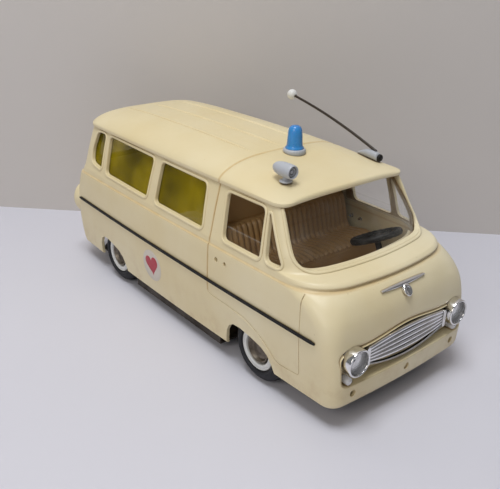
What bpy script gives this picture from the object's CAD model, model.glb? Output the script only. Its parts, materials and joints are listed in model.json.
"""Looks of a toy ambulance van about 1:20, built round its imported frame.

Metres, +Z up. The front faces -Y and +X is the van's own left side.
"""

import json
import math

import bpy
from bpy.props import FloatProperty, FloatVectorProperty, IntProperty, PointerProperty
from mathutils import Matrix, Quaternion, Vector


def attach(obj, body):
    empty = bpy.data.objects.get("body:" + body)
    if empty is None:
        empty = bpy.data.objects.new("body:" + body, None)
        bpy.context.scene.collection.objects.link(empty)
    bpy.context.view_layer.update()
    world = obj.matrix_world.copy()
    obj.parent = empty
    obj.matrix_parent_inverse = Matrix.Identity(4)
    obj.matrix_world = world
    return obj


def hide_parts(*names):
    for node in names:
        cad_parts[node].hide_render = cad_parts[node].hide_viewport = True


bl_info = {
    "name": "Toy Ambulance Van",
    "version": (1, 0, 0),
    "blender": (4, 5, 0),
    "location": "View3D > Sidebar > Toy Van",
    "description": "Dresses the frame of a moulded toy ambulance van",
    "category": "Add Mesh",
}

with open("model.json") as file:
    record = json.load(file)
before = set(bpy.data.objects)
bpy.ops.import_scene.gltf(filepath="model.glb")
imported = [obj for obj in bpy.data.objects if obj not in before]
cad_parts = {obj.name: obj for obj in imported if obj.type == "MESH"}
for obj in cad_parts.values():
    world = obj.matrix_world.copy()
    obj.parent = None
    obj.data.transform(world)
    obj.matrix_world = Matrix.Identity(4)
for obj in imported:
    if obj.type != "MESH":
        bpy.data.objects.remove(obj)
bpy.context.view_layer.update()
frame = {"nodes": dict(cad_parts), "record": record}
NODES = frame["nodes"]
VAN = "van_body"


def mm(value):
    """Millimetres as metres."""
    return value * 0.001


def mms(pairs):
    """Pairs in millimetres as metres."""
    return tuple((mm(a), mm(b)) for a, b in pairs)


# Camera, as the photograph was taken
CAMERA_PLACE = (mm(-201.94), mm(-247.87), mm(178.47))
CAMERA_AZIMUTH = math.radians(-39.70)
CAMERA_ELEVATION = math.radians(24.51)
CAMERA_ROLL = math.radians(1.12)
CAMERA_LENS = 47.91
CAMERA_SENSOR = 36.0
WALL_PLACE = (mm(69.2), mm(89.2), 0.0)
WALL_TURN = math.radians(-45.2)

# Body, with the frame's own sizes
FRONT_Y = mm(-111.0)
REAR_Y = mm(111.0)
BOTTOM_Z = mm(9.8)
TOP_Z = mm(82.7)
WALL = mm(1.6)
GAP = mm(0.3)
BARREL = (mm(2.3), mm(1.2))
TAIL_BOW = mm(2.0)
MOUTH_DEPTH = mm(4.5)
MOUTH_HALF = mm(38.6)
MOUTH_LOW = mm(20.3)
MOUTH_HIGH = mm(37.4)
MOUTH_BROW_DROP = mm(2.4)
MOUTH_CORNER = mm(4.2)
MOUTH_EDGE_ROUND = (mm(0.6), mm(2.4))
BELT_Z = mm(55.9)
WHEEL_ROOMS = mms(((16.5, 41.6), (13.6, 42.1), (12.4, 42.6)))
THROUGH = mm(55)
BOSS_Y = mm(97)
BOSS_Z = (mm(5.9), mm(17.3))
BOSS_RADIUS = mm(3.2)
BOSS_HOLE_RADIUS = mm(1.05)
SIDE_PROFILE = mms(((9.8, 43.4), (16, 44.0), (25, 44.6), (38, 45.0), (50, 44.7), (55.6, 44.3),
                    (56.4, 43.7), (58.4, 43.4), (60.6, 42.8), (70, 40.6), (80, 38.0),
                    (83, 37.2)))
NOSE_PROFILE = mms(((9.8, 3.2), (13, 1.5), (20, 1.2), (40, 3.4), (46, 4.5), (52, 7.4),
                    (55, 10.2), (56.4, 12.2), (57.3, 11.5), (58.7, 13.0), (59.7, 20.2),
                    (60.6, 22.0), (83, 43.0)))
INNER_NOSE = mms(((9.8, 3.2), (13, 1.5), (18, 1.4), (18.8, 5.9), (42.6, 8.5), (45, 4.8),
                  (52, 8.4), (56, 14.0), (58.6, 22.2), (60.6, 22.6), (83, 43.6)))
TAIL_PROFILE = mms(((9.8, 3.4), (14, 1.6), (22, 1.1), (30, 1.0), (40, 1.9), (50, 4.2),
                    (55.6, 6.4), (56.4, 7.4), (60.6, 8.8), (70, 10.6), (77, 12.0),
                    (83, 13.5)))
NOSE_BOW = mms(((9.8, 1.6), (40, 2.2), (50, 4.0), (58, 6.0), (62, 6.0), (83, 1.2)))
NOSE_CORNER = mms(((9.8, 6), (36, 6.5), (44, 8), (50, 11), (58, 17), (60, 16), (66, 9),
                   (83, 3.5)))
TAIL_CORNER = mms(((9.8, 6), (30, 6), (56, 8.5), (60, 9.5), (83, 9)))

# Openings: y and z of the corners seen from the side, top front corner first
DOOR_WINDOW = mms(((-59.4, 80.7), (-34.9, 80.5), (-37.3, 60.3), (-61.8, 60.1)))
QUARTER_LIGHT = mms(((-62.3, 80.5), (-65.4, 60.6), (-74.4, 60.4)))
SIDE_WINDOW_C = mms(((-19.9, 80.3), (17.1, 80.6), (18.0, 60.6), (-21.9, 60.3)))
SIDE_WINDOW_B = mms(((24.3, 80.6), (69.8, 81.2), (69.2, 61.4), (26.1, 60.8)))
SIDE_WINDOW_A = mms(((74.4, 81.2), (83.9, 80.9), (87.0, 70.6), (86.0, 63.8), (74.9, 62.2)))
REAR_WINDOW = mms(((-27, 80.0), (27, 80.0), (30, 62.0), (-30, 62.0)))
WINDOW_ROUND = mm(2.6)
WINDSCREEN_LOW = mm(60.9)
WINDSCREEN_HALF = (mm(38.2), mm(34.6))
ARCH_OUTLINE = mms(((-14.6, 6.8), (-12.5, 10.5), (-10.9, 14.2), (-8.4, 17.8), (-4.6, 20.2),
                    (2.0, 21.9), (9.5, 23.1), (14.0, 22.8), (17.0, 20.9), (18.9, 17.4),
                    (19.7, 12.5), (20.0, 6.8)))
AXLES = ((mm(-61.0), 1.0), (mm(61.0), 0.94))
AXLE_Z = mm(16.0)
HANDLE_HOLES = ((mm(-41.0), mm(50.3)), (mm(-34.9), mm(50.3)))
BUMPER_HOLES = (mm(-32.0), 0.0, mm(32.0))
BUMPER_HOLE_Z = mm(16.3)

# Door outline and the seam behind the cab, down the front, along the foot and up the rear
DOOR_SEAM = mms(((-88.4, 55.2), (-88.5, 46.0), (-88.6, 36.0), (-88.8, 26.0), (-88.9, 19.6),
                 (-88.2, 18.3), (-82.0, 17.7), (-76.6, 17.5), (-74.4, 18.4), (-70.6, 21.8),
                 (-66.4, 25.0), (-60.4, 27.9), (-54.0, 30.2), (-42.0, 31.0), (-30.8, 31.3),
                 (-28.9, 32.2), (-28.7, 36.0), (-28.8, 48.0), (-28.8, 55.0), (-28.8, 64.0),
                 (-28.8, 74.0), (-28.8, 82.2)))
ARCH_RIDGE = mms(((-44.0, 30.2), (-48.7, 30.0), (-56.5, 28.4), (-63.6, 26.0), (-68.6, 22.6),
                  (-73.0, 18.2), (-75.6, 13.6)))

# Beads on the body: depth of their root and room between a lip and its opening
BEAD_ROOT = mm(0.5)
LIP_ROOM = mm(0.04)

# Roof
ROOF_FRONT_Y = mm(-69.3)
ROOF_REAR_Y = mm(98.6)
ROOF_CORNERS = (mm(6.0), mm(12.0))
ROOF_WALL = mm(1.5)
ROOF_CROWN = mms(((-69.3, 86.1), (-60, 88.0), (-50, 89.6), (-40, 91.0), (-28.5, 92.2),
                  (-10, 93.0), (20, 93.4), (60, 93.0), (88, 91.2), (98.6, 88.4)))
ROOF_CROSS_Y = mm(-28.5)
ROOF_CROSS_LINE_Y = mm(-28.65)
ROOF_RIBS_X = (mm(-16.0), 0.0, mm(16.0))

# Glazing
GLASS = mm(1.0)
GLASS_LOW = mm(59.4)
GLASS_HIGH = mm(82.3)
DOOR_GLASS_TOP = mm(65.2)
DOOR_GLASS_REAR_Y = mm(-31.6)
QUARTER_STEP_Y = mm(-61.6)
SIDE_GLASS_FRONT_Y = mm(-23.6)
SIDE_GLASS_MARGIN = mm(12.6)

# Lamps and trim on the nose
HEADLIGHT = (mm(32.0), mm(31.2))
HEADLIGHT_RADIUS = mm(6.0)
INDICATOR = (mm(34.2), mm(22.5))
GRILLE_HALF = mm(25.4)
GRILLE_TOP = (mm(36.5), mm(34.1))
GRILLE_RIB_LOW = (mm(25.4), mm(27.4))
GRILLE_LOW = (mm(22.6), mm(26.6))
GRILLE_RIB = mm(1.7)
GRILLE_FRONT = mm(-4.0)
NOSE_BAR_Z = mm(53.2)
NOSE_BOSS_Z = mm(50.9)

# Wheels
TYRE_RADIUS = mm(16.0)
TYRE_WIDTH = mm(9.0)
TYRE_FACE = mm(42.5)
RIM_RADIUS = mm(10.2)
RIM_SINK = mm(0.7)

# Steering
STEERING_PLACE = (mm(21.2), mm(-69.6), mm(56.4))
STEERING_RADIUS = mm(12.2)
STEERING_TILT = math.radians(25.0)

# Trim and emblems on the sides
TRIM_ENDS = (mm(-97.6), mm(100.8))
TRIM_Z = mm(38.0)
TRIM_RISE = mm(0.9)
TRIM_TIP = 0.012
EMBLEM = (mm(20.3), mm(25.7))
EMBLEM_RADIUS = mm(8.5)
HEART_SCALE = mm(0.36)
HEART_LEAN = 0.18

# Cab sheet: Y and Z in millimetres, share of ribs, and 1 where it follows the side walls
CAB_PATH = ((-95.5, 42.0, 0, 0), (-91.5, 37.0, 0, 0), (-58.6, 37.0, 0, 0), (-58.0, 46.2, 0, 0),
            (-56.4, 48.2, 1, 0), (-50.0, 48.6, 1, 0), (-39.5, 46.6, 1, 0), (-37.2, 48.4, 1, 0),
            (-33.6, 61.2, 1, 0), (-31.6, 63.3, 0, 0), (-29.7, 63.4, 0, 1), (-29.7, 81.6, 0, 1))
CAB_SHEET = mm(1.3)
CAB_HALF = mm(37.8)
CAB_BEND = mm(1.2)
SEAT_RIB = mm(0.9)

# Tail lamps
POD_X = mm(37.4)
POD_Z = mm(36.0)
POD_HALF = (mm(7.2), mm(9.4))
POD_PROUD = mm(1.9)
LENS_HALF = (mm(5.0), mm(7.2))

# Roof fittings
BEACON_Y = mm(-34.9)
BEACON_RING_RADIUS = mm(5.25)
BEACON_DOME = (mm(4.25), mm(10.5))
SEARCHLIGHT = (mm(-24.5), mm(-56.5))
SEARCHLIGHT_PIN = mm(1.5)
SEARCHLIGHT_LAMP = (mm(3.1), mm(12.0))
ANTENNA = (mm(32.0), mm(-52.8))
ANTENNA_ROD = mm(0.7)
ANTENNA_BALL = mm(2.6)

# Both hands, with the sign of X
HANDS = ((-1, "right"), (1, "left"))


def measure(name, description, value):
    """Length setting with its starting value."""
    return FloatProperty(name=name, description=description, default=value, unit="LENGTH")


def tint(name, description, value):
    """Colour setting with its starting value."""
    return FloatVectorProperty(name=name, description=description, subtype="COLOR", size=3,
                               default=value)


class ToyVanSizes(bpy.types.PropertyGroup):
    """Sizes of the moulded details"""
    lip_width: measure("Window lip width", "Width of the rounded lip round each window", mm(1.4))
    lip_height: measure("Window lip height", "How far the lips stand out of the body", mm(0.5))
    seam_radius: measure("Seam radius", "Radius of the groove that draws the doors", mm(0.27))
    roof_rib_height: measure("Roof rib height", "How far the three roof ribs stand up", mm(0.45))
    seat_ribs: IntProperty(
        name="Seat ribs", description="Upright ribs over the bench seat", default=25)
    grille_ribs: IntProperty(
        name="Grille ribs", description="Plated ribs of the grille", default=5)


class ToyVanColours(bpy.types.PropertyGroup):
    """Colours of the finishes"""
    body: tint("Body", "Cream moulded plastic", (0.800, 0.730, 0.530))
    dirt: tint("Dirt", "Amber dirt in seams and corners", (0.250, 0.130, 0.030))
    yellow: tint("Yellow panes", "Tint of the side and rear panes", (0.46, 0.345, 0.003))
    clear: tint("Clear panes", "Tint of the windscreen moulding", (0.90, 0.88, 0.82))
    beacon: tint("Beacon", "Blue dome", (0.040, 0.260, 0.640))
    grey: tint("Grey fittings", "Searchlight, antenna foot and beacon ring",
               (0.450, 0.470, 0.510))


def sizes():
    """The scene's sizes."""
    return bpy.context.scene.toy_van_sizes


def colours():
    """The scene's colours."""
    return bpy.context.scene.toy_van_colours


# Curves and the body's surface

def table_at(table, place):
    """Smooth monotone reading of a (place, value) table, held level past its ends."""
    if place <= table[0][0]:
        return table[0][1]
    if place >= table[-1][0]:
        return table[-1][1]
    last = len(table) - 1
    i = max(k for k in range(last) if table[k][0] <= place)

    def slope(k):
        return (table[k + 1][1] - table[k][1]) / (table[k + 1][0] - table[k][0])

    def tangent(k):
        if k in (0, last):
            return slope(min(k, last - 1))
        before, after = slope(k - 1), slope(k)
        return 0.0 if before * after <= 0.0 else 2.0 * before * after / (before + after)

    step = table[i + 1][0] - table[i][0]
    t = (place - table[i][0]) / step
    return ((2 * t**3 - 3 * t**2 + 1) * table[i][1] + (t**3 - 2 * t**2 + t) * tangent(i) * step
            + (3 * t**2 - 2 * t**3) * table[i + 1][1] + (t**3 - t**2) * tangent(i + 1) * step)


def blend(start, end, t):
    """Value a share t of the way from start to end."""
    return start + (end - start) * t


def spread(start, end, count):
    """Count even steps from start to end, both included."""
    return [blend(start, end, i / count) for i in range(count + 1)]


def smooth_step(low, high, value):
    """0 below low, 1 above high and an even ease between."""
    t = min(max((value - low) / (high - low), 0.0), 1.0)
    return t * t * (3.0 - 2.0 * t)


def graded(start, end, step, dense=()):
    """Places from start to end, with a finer step inside the dense spans."""
    places = [start]
    while places[-1] < end - step * 0.2:
        here = places[-1]
        size = min([fine for low, high, fine in dense if low <= here <= high] + [step])
        places.append(min(here + size, end))
    places[-1] = end
    return places


def side_half_width(y, z):
    """Half width of the body at a place along its side."""
    share = min(max((z - BOTTOM_Z) / (TOP_Z - BOTTOM_Z), 0.0), 1.0)
    return table_at(SIDE_PROFILE, z) - blend(*BARREL, share) * (y / REAR_Y) ** 2


def nose_y(z):
    """Front of the body on the centre line."""
    return FRONT_Y + table_at(NOSE_PROFILE, z)


def inner_nose_y(z):
    """Front of the cavity on the centre line."""
    return FRONT_Y + table_at(INNER_NOSE, z) + WALL


def tail_y(z):
    """Rear of the body on the centre line."""
    return REAR_Y - table_at(TAIL_PROFILE, z)


def bezier(start, turn, end, t):
    """Point of a curve that leaves start and reaches end towards the turn."""
    return start * (1 - t) ** 2 + turn * 2 * t * (1 - t) + end * t**2


def nose_corner(z, nose, inset):
    """The three points that draw a front corner, and the full half width there."""
    corner = max(table_at(NOSE_CORNER, z) - inset / 2, mm(1.5))
    bow = table_at(NOSE_BOW, z)
    full = side_half_width(nose + bow, z) - inset
    flat = full - corner
    end_y = nose + bow + corner
    return (Vector((flat, nose + bow * (flat / full) ** 2)), Vector((full, nose + bow)),
            Vector((side_half_width(end_y, z) - inset, end_y)), full)


def nose_half(z, nose, inset, steps, corner_steps):
    """Plan points of the nose and front corner, from the centre line out."""
    start, turn, end, full = nose_corner(z, nose, inset)
    bow = table_at(NOSE_BOW, z)
    points = [(x, nose + bow * (x / full) ** 2) for x in spread(0.0, start.x, steps)]
    points += [tuple(bezier(start, turn, end, k / corner_steps))
               for k in range(1, corner_steps + 1)]
    return points


def tail_half(z, tail, inset, steps, corner_steps):
    """Plan points of the tail, from the side in to the centre line."""
    corner = table_at(TAIL_CORNER, z) - inset / 2
    edge = tail - TAIL_BOW
    full = side_half_width(edge, z) - inset
    start = Vector((side_half_width(edge - corner, z) - inset, edge - corner))
    turn = Vector((full, edge))
    flat = full - corner
    end = Vector((flat, tail - TAIL_BOW * (flat / full) ** 2))
    points = [tuple(bezier(start, turn, end, k / corner_steps)) for k in range(corner_steps)]
    return points + [(x, tail - TAIL_BOW * (x / full) ** 2) for x in spread(flat, 0.0, steps)]


def plan_outline(z, nose, tail, inset, counts):
    """Closed plan outline of the body at a height, as (x, y) points."""
    nose_steps, corner_steps, side_steps, tail_steps = counts
    front = nose_half(z, nose, inset, nose_steps, corner_steps)
    rear = tail_half(z, tail, inset, tail_steps, corner_steps)
    between = spread(front[-1][1], rear[0][1], side_steps)[1:-1]
    side = [(side_half_width(y, z) - inset, y) for y in between]
    right = front + side + rear
    return right + [(-x, y) for x, y in reversed(right[1:-1])]


def solve(value_at, target, rising=True):
    """Share from 0 to 1 at which a steadily changing value meets a target."""
    low, high = 0.0, 1.0
    for _ in range(24):
        middle = (low + high) / 2
        if (value_at(middle) < target) == rising:
            low = middle
        else:
            high = middle
    return (low + high) / 2


def side_x(y, z):
    """Half width of the body's outer surface at y and z, round the corners too."""
    start, turn, end, _ = nose_corner(z, nose_y(z), 0.0)
    if y < end.y:
        return bezier(start, turn, end, solve(lambda t: bezier(start, turn, end, t).y, y)).x
    corner = table_at(TAIL_CORNER, z)
    edge = tail_y(z) - TAIL_BOW
    if y > edge - corner:
        full = side_half_width(edge, z)
        first = Vector((side_half_width(edge - corner, z), edge - corner))
        last = Vector((full - corner, tail_y(z) - TAIL_BOW * ((full - corner) / full) ** 2))
        middle = Vector((full, edge))
        share = solve(lambda t: bezier(first, middle, last, t).y, y)
        return bezier(first, middle, last, share).x
    return side_half_width(y, z)


def front_y(x, z):
    """Front of the body's outer surface at x and z, round the corners too."""
    x = abs(x)
    start, turn, end, full = nose_corner(z, nose_y(z), 0.0)
    if x <= start.x:
        return nose_y(z) + table_at(NOSE_BOW, z) * (x / full) ** 2
    reach = min(x, end.x - 1e-6)
    return bezier(start, turn, end, solve(lambda t: bezier(start, turn, end, t).x, reach)).y


def mouth_back_y(x):
    """Back of the recess round the headlights and the grille."""
    full = side_half_width(FRONT_Y, HEADLIGHT[1])
    return nose_y(MOUTH_LOW) + MOUTH_DEPTH + table_at(NOSE_BOW, HEADLIGHT[1]) * (x / full) ** 2


def curved(middle_end, x, half):
    """Value on a parabola from its middle to its ends."""
    return blend(middle_end[0], middle_end[1], (x / half) ** 2)


def roof_half_width(y):
    """Half width of the roof's lip, drawn in round its corners."""
    full = side_half_width(y, TOP_Z) + mm(0.9)
    for room, corner in ((y - ROOF_FRONT_Y, ROOF_CORNERS[0]), (ROOF_REAR_Y - y, ROOF_CORNERS[1])):
        if room < corner:
            return full - corner + math.sqrt(corner**2 - (corner - max(room, 0.0)) ** 2)
    return full


def roof_z(x, y):
    """Top of the roof at a place."""
    edge = TOP_Z + GAP + mm(1.5)
    share = min(abs(x) / roof_half_width(y), 1.0)
    return edge + (table_at(ROOF_CROWN, y) - edge) * (1.0 - share**3.6) ** 0.75


def roof_lip_z(x, y):
    """Lower edge of the roof's lip, raised over the windscreen."""
    across = max(1.0 - (x / WINDSCREEN_HALF[1]) ** 4, 0.0)
    near = max(1.0 - (y - ROOF_FRONT_Y) / mm(6), 0.0)
    return TOP_Z + GAP + mm(0.9) * across * near


# Shapes

def outline_round(corners, radius, steps=6):
    """Polygon in the plane with each corner turned by a round."""
    points = []
    count = len(corners)
    for i, corner in enumerate(corners):
        here = Vector(corner)
        before = Vector(corners[i - 1]) - here
        after = Vector(corners[(i + 1) % count]) - here
        reach = min(radius, 0.45 * before.length, 0.45 * after.length)
        start, end = here + before.normalized() * reach, here + after.normalized() * reach
        points += [tuple(bezier(start, here, end, k / steps)) for k in range(steps + 1)]
    return points


def offset_outline(points, distance):
    """Closed outline moved outwards by a distance."""
    area = sum(a[0] * b[1] - b[0] * a[1] for a, b in zip(points, points[1:] + points[:1]))
    side = distance if area > 0 else -distance
    moved = []
    for i, point in enumerate(points):
        before, after = points[i - 1], points[(i + 1) % len(points)]
        along = (Vector(after) - Vector(before)).normalized()
        moved.append((point[0] + along.y * side, point[1] - along.x * side))
    return moved


def refined(points, step, closed=True):
    """Path with its long stretches cut into steps."""
    made = []
    pairs = list(zip(points, points[1:] + (points[:1] if closed else [])))
    for a, b in pairs:
        count = max(1, round((Vector(b) - Vector(a)).length / step))
        made += [tuple(Vector(a).lerp(Vector(b), k / count)) for k in range(count)]
    if not closed:
        made.append(points[-1])
    return made


def disc(radius, count, centre=(0.0, 0.0)):
    """Round outline."""
    return [(centre[0] + radius * math.cos(2 * math.pi * k / count),
             centre[1] + radius * math.sin(2 * math.pi * k / count)) for k in range(count)]


def loft(rings, ring_closed=False):
    """Skin through rings of as many points each."""
    count = len(rings[0])
    verts = [point for ring in rings for point in ring]
    faces = []
    turns = len(rings) if ring_closed else len(rings) - 1
    for r in range(turns):
        after = (r + 1) % len(rings)
        for i in range(count):
            j = (i + 1) % count
            faces.append((r * count + i, r * count + j, after * count + j, after * count + i))
    if not ring_closed:
        faces.append(tuple(range(count)))
        faces.append(tuple(range((len(rings) - 1) * count, len(rings) * count)))
    return verts, faces


def prism(outline, axis, low, high):
    """Straight solid from a plane outline, along X (y, z), Y (x, z) or Z (x, y)."""
    place = {"X": lambda a, b, c: (c, a, b), "Y": lambda a, b, c: (a, c, b),
             "Z": lambda a, b, c: (a, b, c)}[axis]
    return loft([[place(a, b, low) for a, b in outline], [place(a, b, high) for a, b in outline]])


def slab(outer, inner, keep=None):
    """Closed sheet between two grids of points; keep says which cells it has."""
    rows, columns = len(outer), len(outer[0])
    verts = [point for grid in (outer, inner) for row in grid for point in row]
    offset = rows * columns

    def kept(r, c):
        return 0 <= r < rows - 1 and 0 <= c < columns - 1 and (keep is None or keep(r, c))

    faces = []
    for r in range(rows - 1):
        for c in range(columns - 1):
            if not kept(r, c):
                continue
            a, b = r * columns + c, r * columns + c + 1
            d, e = a + columns, b + columns
            faces.append((a, b, e, d))
            faces.append((d + offset, e + offset, b + offset, a + offset))
            for near, far, other in ((a, b, (r - 1, c)), (e, d, (r + 1, c)),
                                     (d, a, (r, c - 1)), (b, e, (r, c + 1))):
                if not kept(*other):
                    faces.append((near, near + offset, far + offset, far))
    return verts, faces


def joined(shapes):
    """Several solids as one list of points and faces."""
    verts, faces = [], []
    for shape_verts, shape_faces in shapes:
        start = len(verts)
        verts.extend(shape_verts)
        faces.extend(tuple(start + i for i in face) for face in shape_faces)
    return verts, faces


def tapers(count, share):
    """Scales that draw a bar in at both its ends."""
    ends = [min(i, count - 1 - i) / (count * share) for i in range(count)]
    return [blend(0.06, 1.0, smooth_step(0.0, 1.0, end)) for end in ends]


def sweep(path, normals, section, closed, scales=None):
    """Bar of one section along a path; section points are (across, out)."""
    rings = []
    count = len(path)
    for i, point in enumerate(path):
        before = path[i - 1] if closed or i else path[i]
        after = path[(i + 1) % count] if closed or i < count - 1 else path[i]
        along = (after - before).normalized()
        out = (normals[i] - along * normals[i].dot(along)).normalized()
        across = along.cross(out)
        size = scales[i] if scales else 1.0
        rings.append([tuple(point + (across * a + out * b) * size) for a, b in section])
    return loft(rings, ring_closed=closed)


def half_round(width, height, root, steps=8):
    """Section of a rounded bead that is rooted below the surface."""
    arc = [(width / 2 * math.cos(math.pi * k / steps), height * math.sin(math.pi * k / steps))
           for k in range(steps + 1)]
    return arc + [(-width / 2, -root), (width / 2, -root)]


# Objects

def only(item):
    """Select one object and make it active."""
    bpy.ops.object.select_all(action="DESELECT")
    item.select_set(True)
    bpy.context.view_layer.objects.active = item


def modelled(name, shape):
    """Object from points and faces."""
    mesh = bpy.data.meshes.new(name)
    mesh.from_pydata([tuple(v) for v in shape[0]], [], shape[1])
    item = bpy.data.objects.new(name, mesh)
    bpy.context.scene.collection.objects.link(item)
    return item


def tidy_mesh(item):
    """Merge doubles and point the faces outwards."""
    only(item)
    bpy.ops.object.mode_set(mode="EDIT")
    bpy.ops.mesh.select_all(action="SELECT")
    bpy.ops.mesh.remove_doubles(threshold=1e-6)
    bpy.ops.mesh.dissolve_degenerate(threshold=1e-7)
    bpy.ops.mesh.normals_make_consistent(inside=False)
    bpy.ops.object.mode_set(mode="OBJECT")


def carve(item, shape, operation="DIFFERENCE"):
    """Boolean of a closed shape on an object, applied at once."""
    tool = modelled("tool", shape)
    tidy_mesh(tool)
    only(item)
    bpy.ops.object.modifier_add(type="BOOLEAN")
    step = item.modifiers[-1]
    step.operation = operation
    step.solver = "EXACT"
    step.object = tool
    bpy.ops.object.modifier_apply(modifier=step.name)
    bpy.data.objects.remove(tool, do_unlink=True)


def rounded(item, width, segments=2, angle=35.0):
    """Bevel the sharp edges of an object."""
    only(item)
    bpy.ops.object.modifier_add(type="BEVEL")
    step = item.modifiers[-1]
    step.width = width
    step.segments = segments
    step.limit_method = "ANGLE"
    step.angle_limit = math.radians(angle)
    bpy.ops.object.modifier_apply(modifier=step.name)


def turned(name, profile, steps=64, axis="Z"):
    """Solid of revolution from a closed profile of (radius, place along the axis)."""
    bpy.ops.mesh.primitive_circle_add(vertices=len(profile), radius=mm(1))
    item = bpy.context.active_object
    item.name = name
    for vertex, (radius, place) in zip(item.data.vertices, profile):
        vertex.co = (radius, 0.0, place)
    bpy.ops.object.modifier_add(type="SCREW")
    step = item.modifiers[-1]
    step.steps = steps
    step.render_steps = steps
    step.use_merge_vertices = True
    step.merge_threshold = mm(0.001)
    bpy.ops.object.modifier_apply(modifier=step.name)
    turn = {"X": Matrix.Rotation(math.pi / 2, 4, "Y"), "Y": Matrix.Rotation(-math.pi / 2, 4, "X"),
            "Z": Matrix.Identity(4)}[axis]
    item.data.transform(turn)
    return item


def placed(item, matrix):
    """Move an object's mesh by a matrix."""
    item.data.transform(matrix)
    return item


def copy_of(item, name, matrix):
    """Copy with a mesh of its own."""
    made = item.copy()
    made.data = item.data.copy()
    made.name = name
    made.data.name = name
    bpy.context.scene.collection.objects.link(made)
    made.data.transform(matrix)
    return made


def merged(items, name):
    """Several objects as one."""
    bpy.ops.object.select_all(action="DESELECT")
    for item in items:
        item.select_set(True)
    bpy.context.view_layer.objects.active = items[0]
    bpy.ops.object.join()
    items[0].name = name
    return items[0]


def settle(item, finish, body=VAN, nodes=(), angle=35.0, clean=True):
    """Last steps of a piece: clean mesh, shading, finish and the body that it rides on."""
    if clean:
        tidy_mesh(item)
    only(item)
    bpy.ops.object.shade_smooth_by_angle(angle=math.radians(angle))
    item.data.name = item.name
    item.data.materials.clear()
    item.data.materials.append(finish_of(finish))
    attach(item, body)
    if nodes:
        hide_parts(*nodes)
    return item


# Body

def side_point(side, y, z):
    """Point of the body's side and the way out of it."""
    step = mm(0.3)
    across_y = (side_x(y + step, z) - side_x(y - step, z)) / (2 * step)
    across_z = (side_x(y, z + step) - side_x(y, z - step)) / (2 * step)
    normal = Vector((1.0, -across_y, -across_z)).normalized()
    return Vector((side * side_x(y, z), y, z)), Vector((side * normal.x, *normal.yz))


def nose_point(x, z):
    """Point of the nose and the way out of it."""
    step = mm(0.3)
    across_x = (front_y(x + step, z) - front_y(x - step, z)) / (2 * step)
    across_z = (front_y(x, z + step) - front_y(x, z - step)) / (2 * step)
    normal = Vector((across_x, -1.0, across_z)).normalized()
    return Vector((x, front_y(x, z), z)), normal


def belt_groove(z):
    """Depth of the fine groove along the belt."""
    return mm(0.20) * math.exp(-((z - BELT_Z) / mm(0.28)) ** 2)


def body_rings():
    """Outer outlines of the body, close together where it turns."""
    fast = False
    counts = (14, 8, 40, 12) if fast else (26, 14, 90, 22)
    step = mm(3.0) if fast else mm(1.6)
    dense = ((BOTTOM_Z, mm(13), mm(0.6)), (mm(44), mm(55), mm(1.0)),
             (mm(55.0), mm(61.5), mm(0.5 if fast else 0.16)))
    rings = []
    for z in graded(BOTTOM_Z, TOP_Z, step, dense):
        below = 1 - min((z - BOTTOM_Z) / mm(0.6), 1)
        foot = mm(0.5) - mm(0.5) * math.sqrt(max(1 - below**2, 0))
        sink = belt_groove(z) + foot
        outline = plan_outline(z, nose_y(z) + sink, tail_y(z) - sink, sink, counts)
        rings.append([(x, y, z) for x, y in outline])
    return rings


def cavity():
    """Hollow of the body, open at the bottom and at the top."""
    rings = []
    dense = ((mm(17), mm(20), mm(0.5)), (mm(54), mm(62), mm(1)))
    for z in graded(BOTTOM_Z, TOP_Z, mm(4.0), dense):
        outline = plan_outline(z, inner_nose_y(z), tail_y(z) - WALL, WALL, (12, 8, 24, 8))
        rings.append([(x, y, z) for x, y in outline])
    for ring, z in ((rings[0], BOTTOM_Z - mm(2)), (rings[-1], TOP_Z + mm(2))):
        rings.insert(0 if z < BOTTOM_Z else len(rings), [(x, y, z) for x, y, _ in ring])
    return loft(rings)


def mouth_cutter():
    """Recess in the nose with a soft arched brow and a fine lip along its edge."""
    wide, steps = MOUTH_HALF, 6
    outline = refined(outline_round([(-wide, MOUTH_LOW), (wide, MOUTH_LOW), (wide, MOUTH_HIGH),
                                     (-wide, MOUTH_HIGH)], MOUTH_CORNER, 8), mm(2.5))
    middle = (MOUTH_LOW + MOUTH_HIGH) / 2
    outline = [(x, z - MOUTH_BROW_DROP * smooth_step(middle, MOUTH_HIGH, z)
                * smooth_step(0.0, mm(27), abs(x))) for x, z in outline]
    rounds = [blend(*MOUTH_EDGE_ROUND, smooth_step(middle, MOUTH_HIGH - MOUTH_BROW_DROP, z))
              for _, z in outline]
    rings = [[(x, mouth_back_y(x), z) for x, z in outline]]
    moved = offset_outline(outline, 1.0)
    ways = [(a[0] - b[0], a[1] - b[1]) for a, b in zip(moved, outline)]
    for k in range(steps + 1):
        ring = []
        for (x, z), (way_x, way_z), radius in zip(outline, ways, rounds):
            out = radius * k / steps
            x, z = x + way_x * out, z + way_z * out
            deep = radius - math.sqrt(radius**2 - (radius - out) ** 2) if k else 0.0
            ring.append((x, front_y(x, z) + deep, z))
        rings.append(ring)
    rings.append([(x, y - mm(6), z) for x, y, z in rings[-1]])
    return loft(rings)


def windscreen_outline():
    """Outline of the windscreen opening, open upwards."""
    top = TOP_Z + mm(2)
    slope = (WINDSCREEN_HALF[0] - WINDSCREEN_HALF[1]) / (TOP_Z - WINDSCREEN_LOW)
    half = WINDSCREEN_HALF[1] - slope * (top - TOP_Z)
    corners = [(-half, top), (-WINDSCREEN_HALF[0], WINDSCREEN_LOW),
               (WINDSCREEN_HALF[0], WINDSCREEN_LOW), (half, top)]
    curve = outline_round(corners, mm(6.5), 8)
    quarter = len(curve) // 4
    return [(-half, top)] + curve[quarter:3 * quarter] + [(half, top)]


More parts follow.
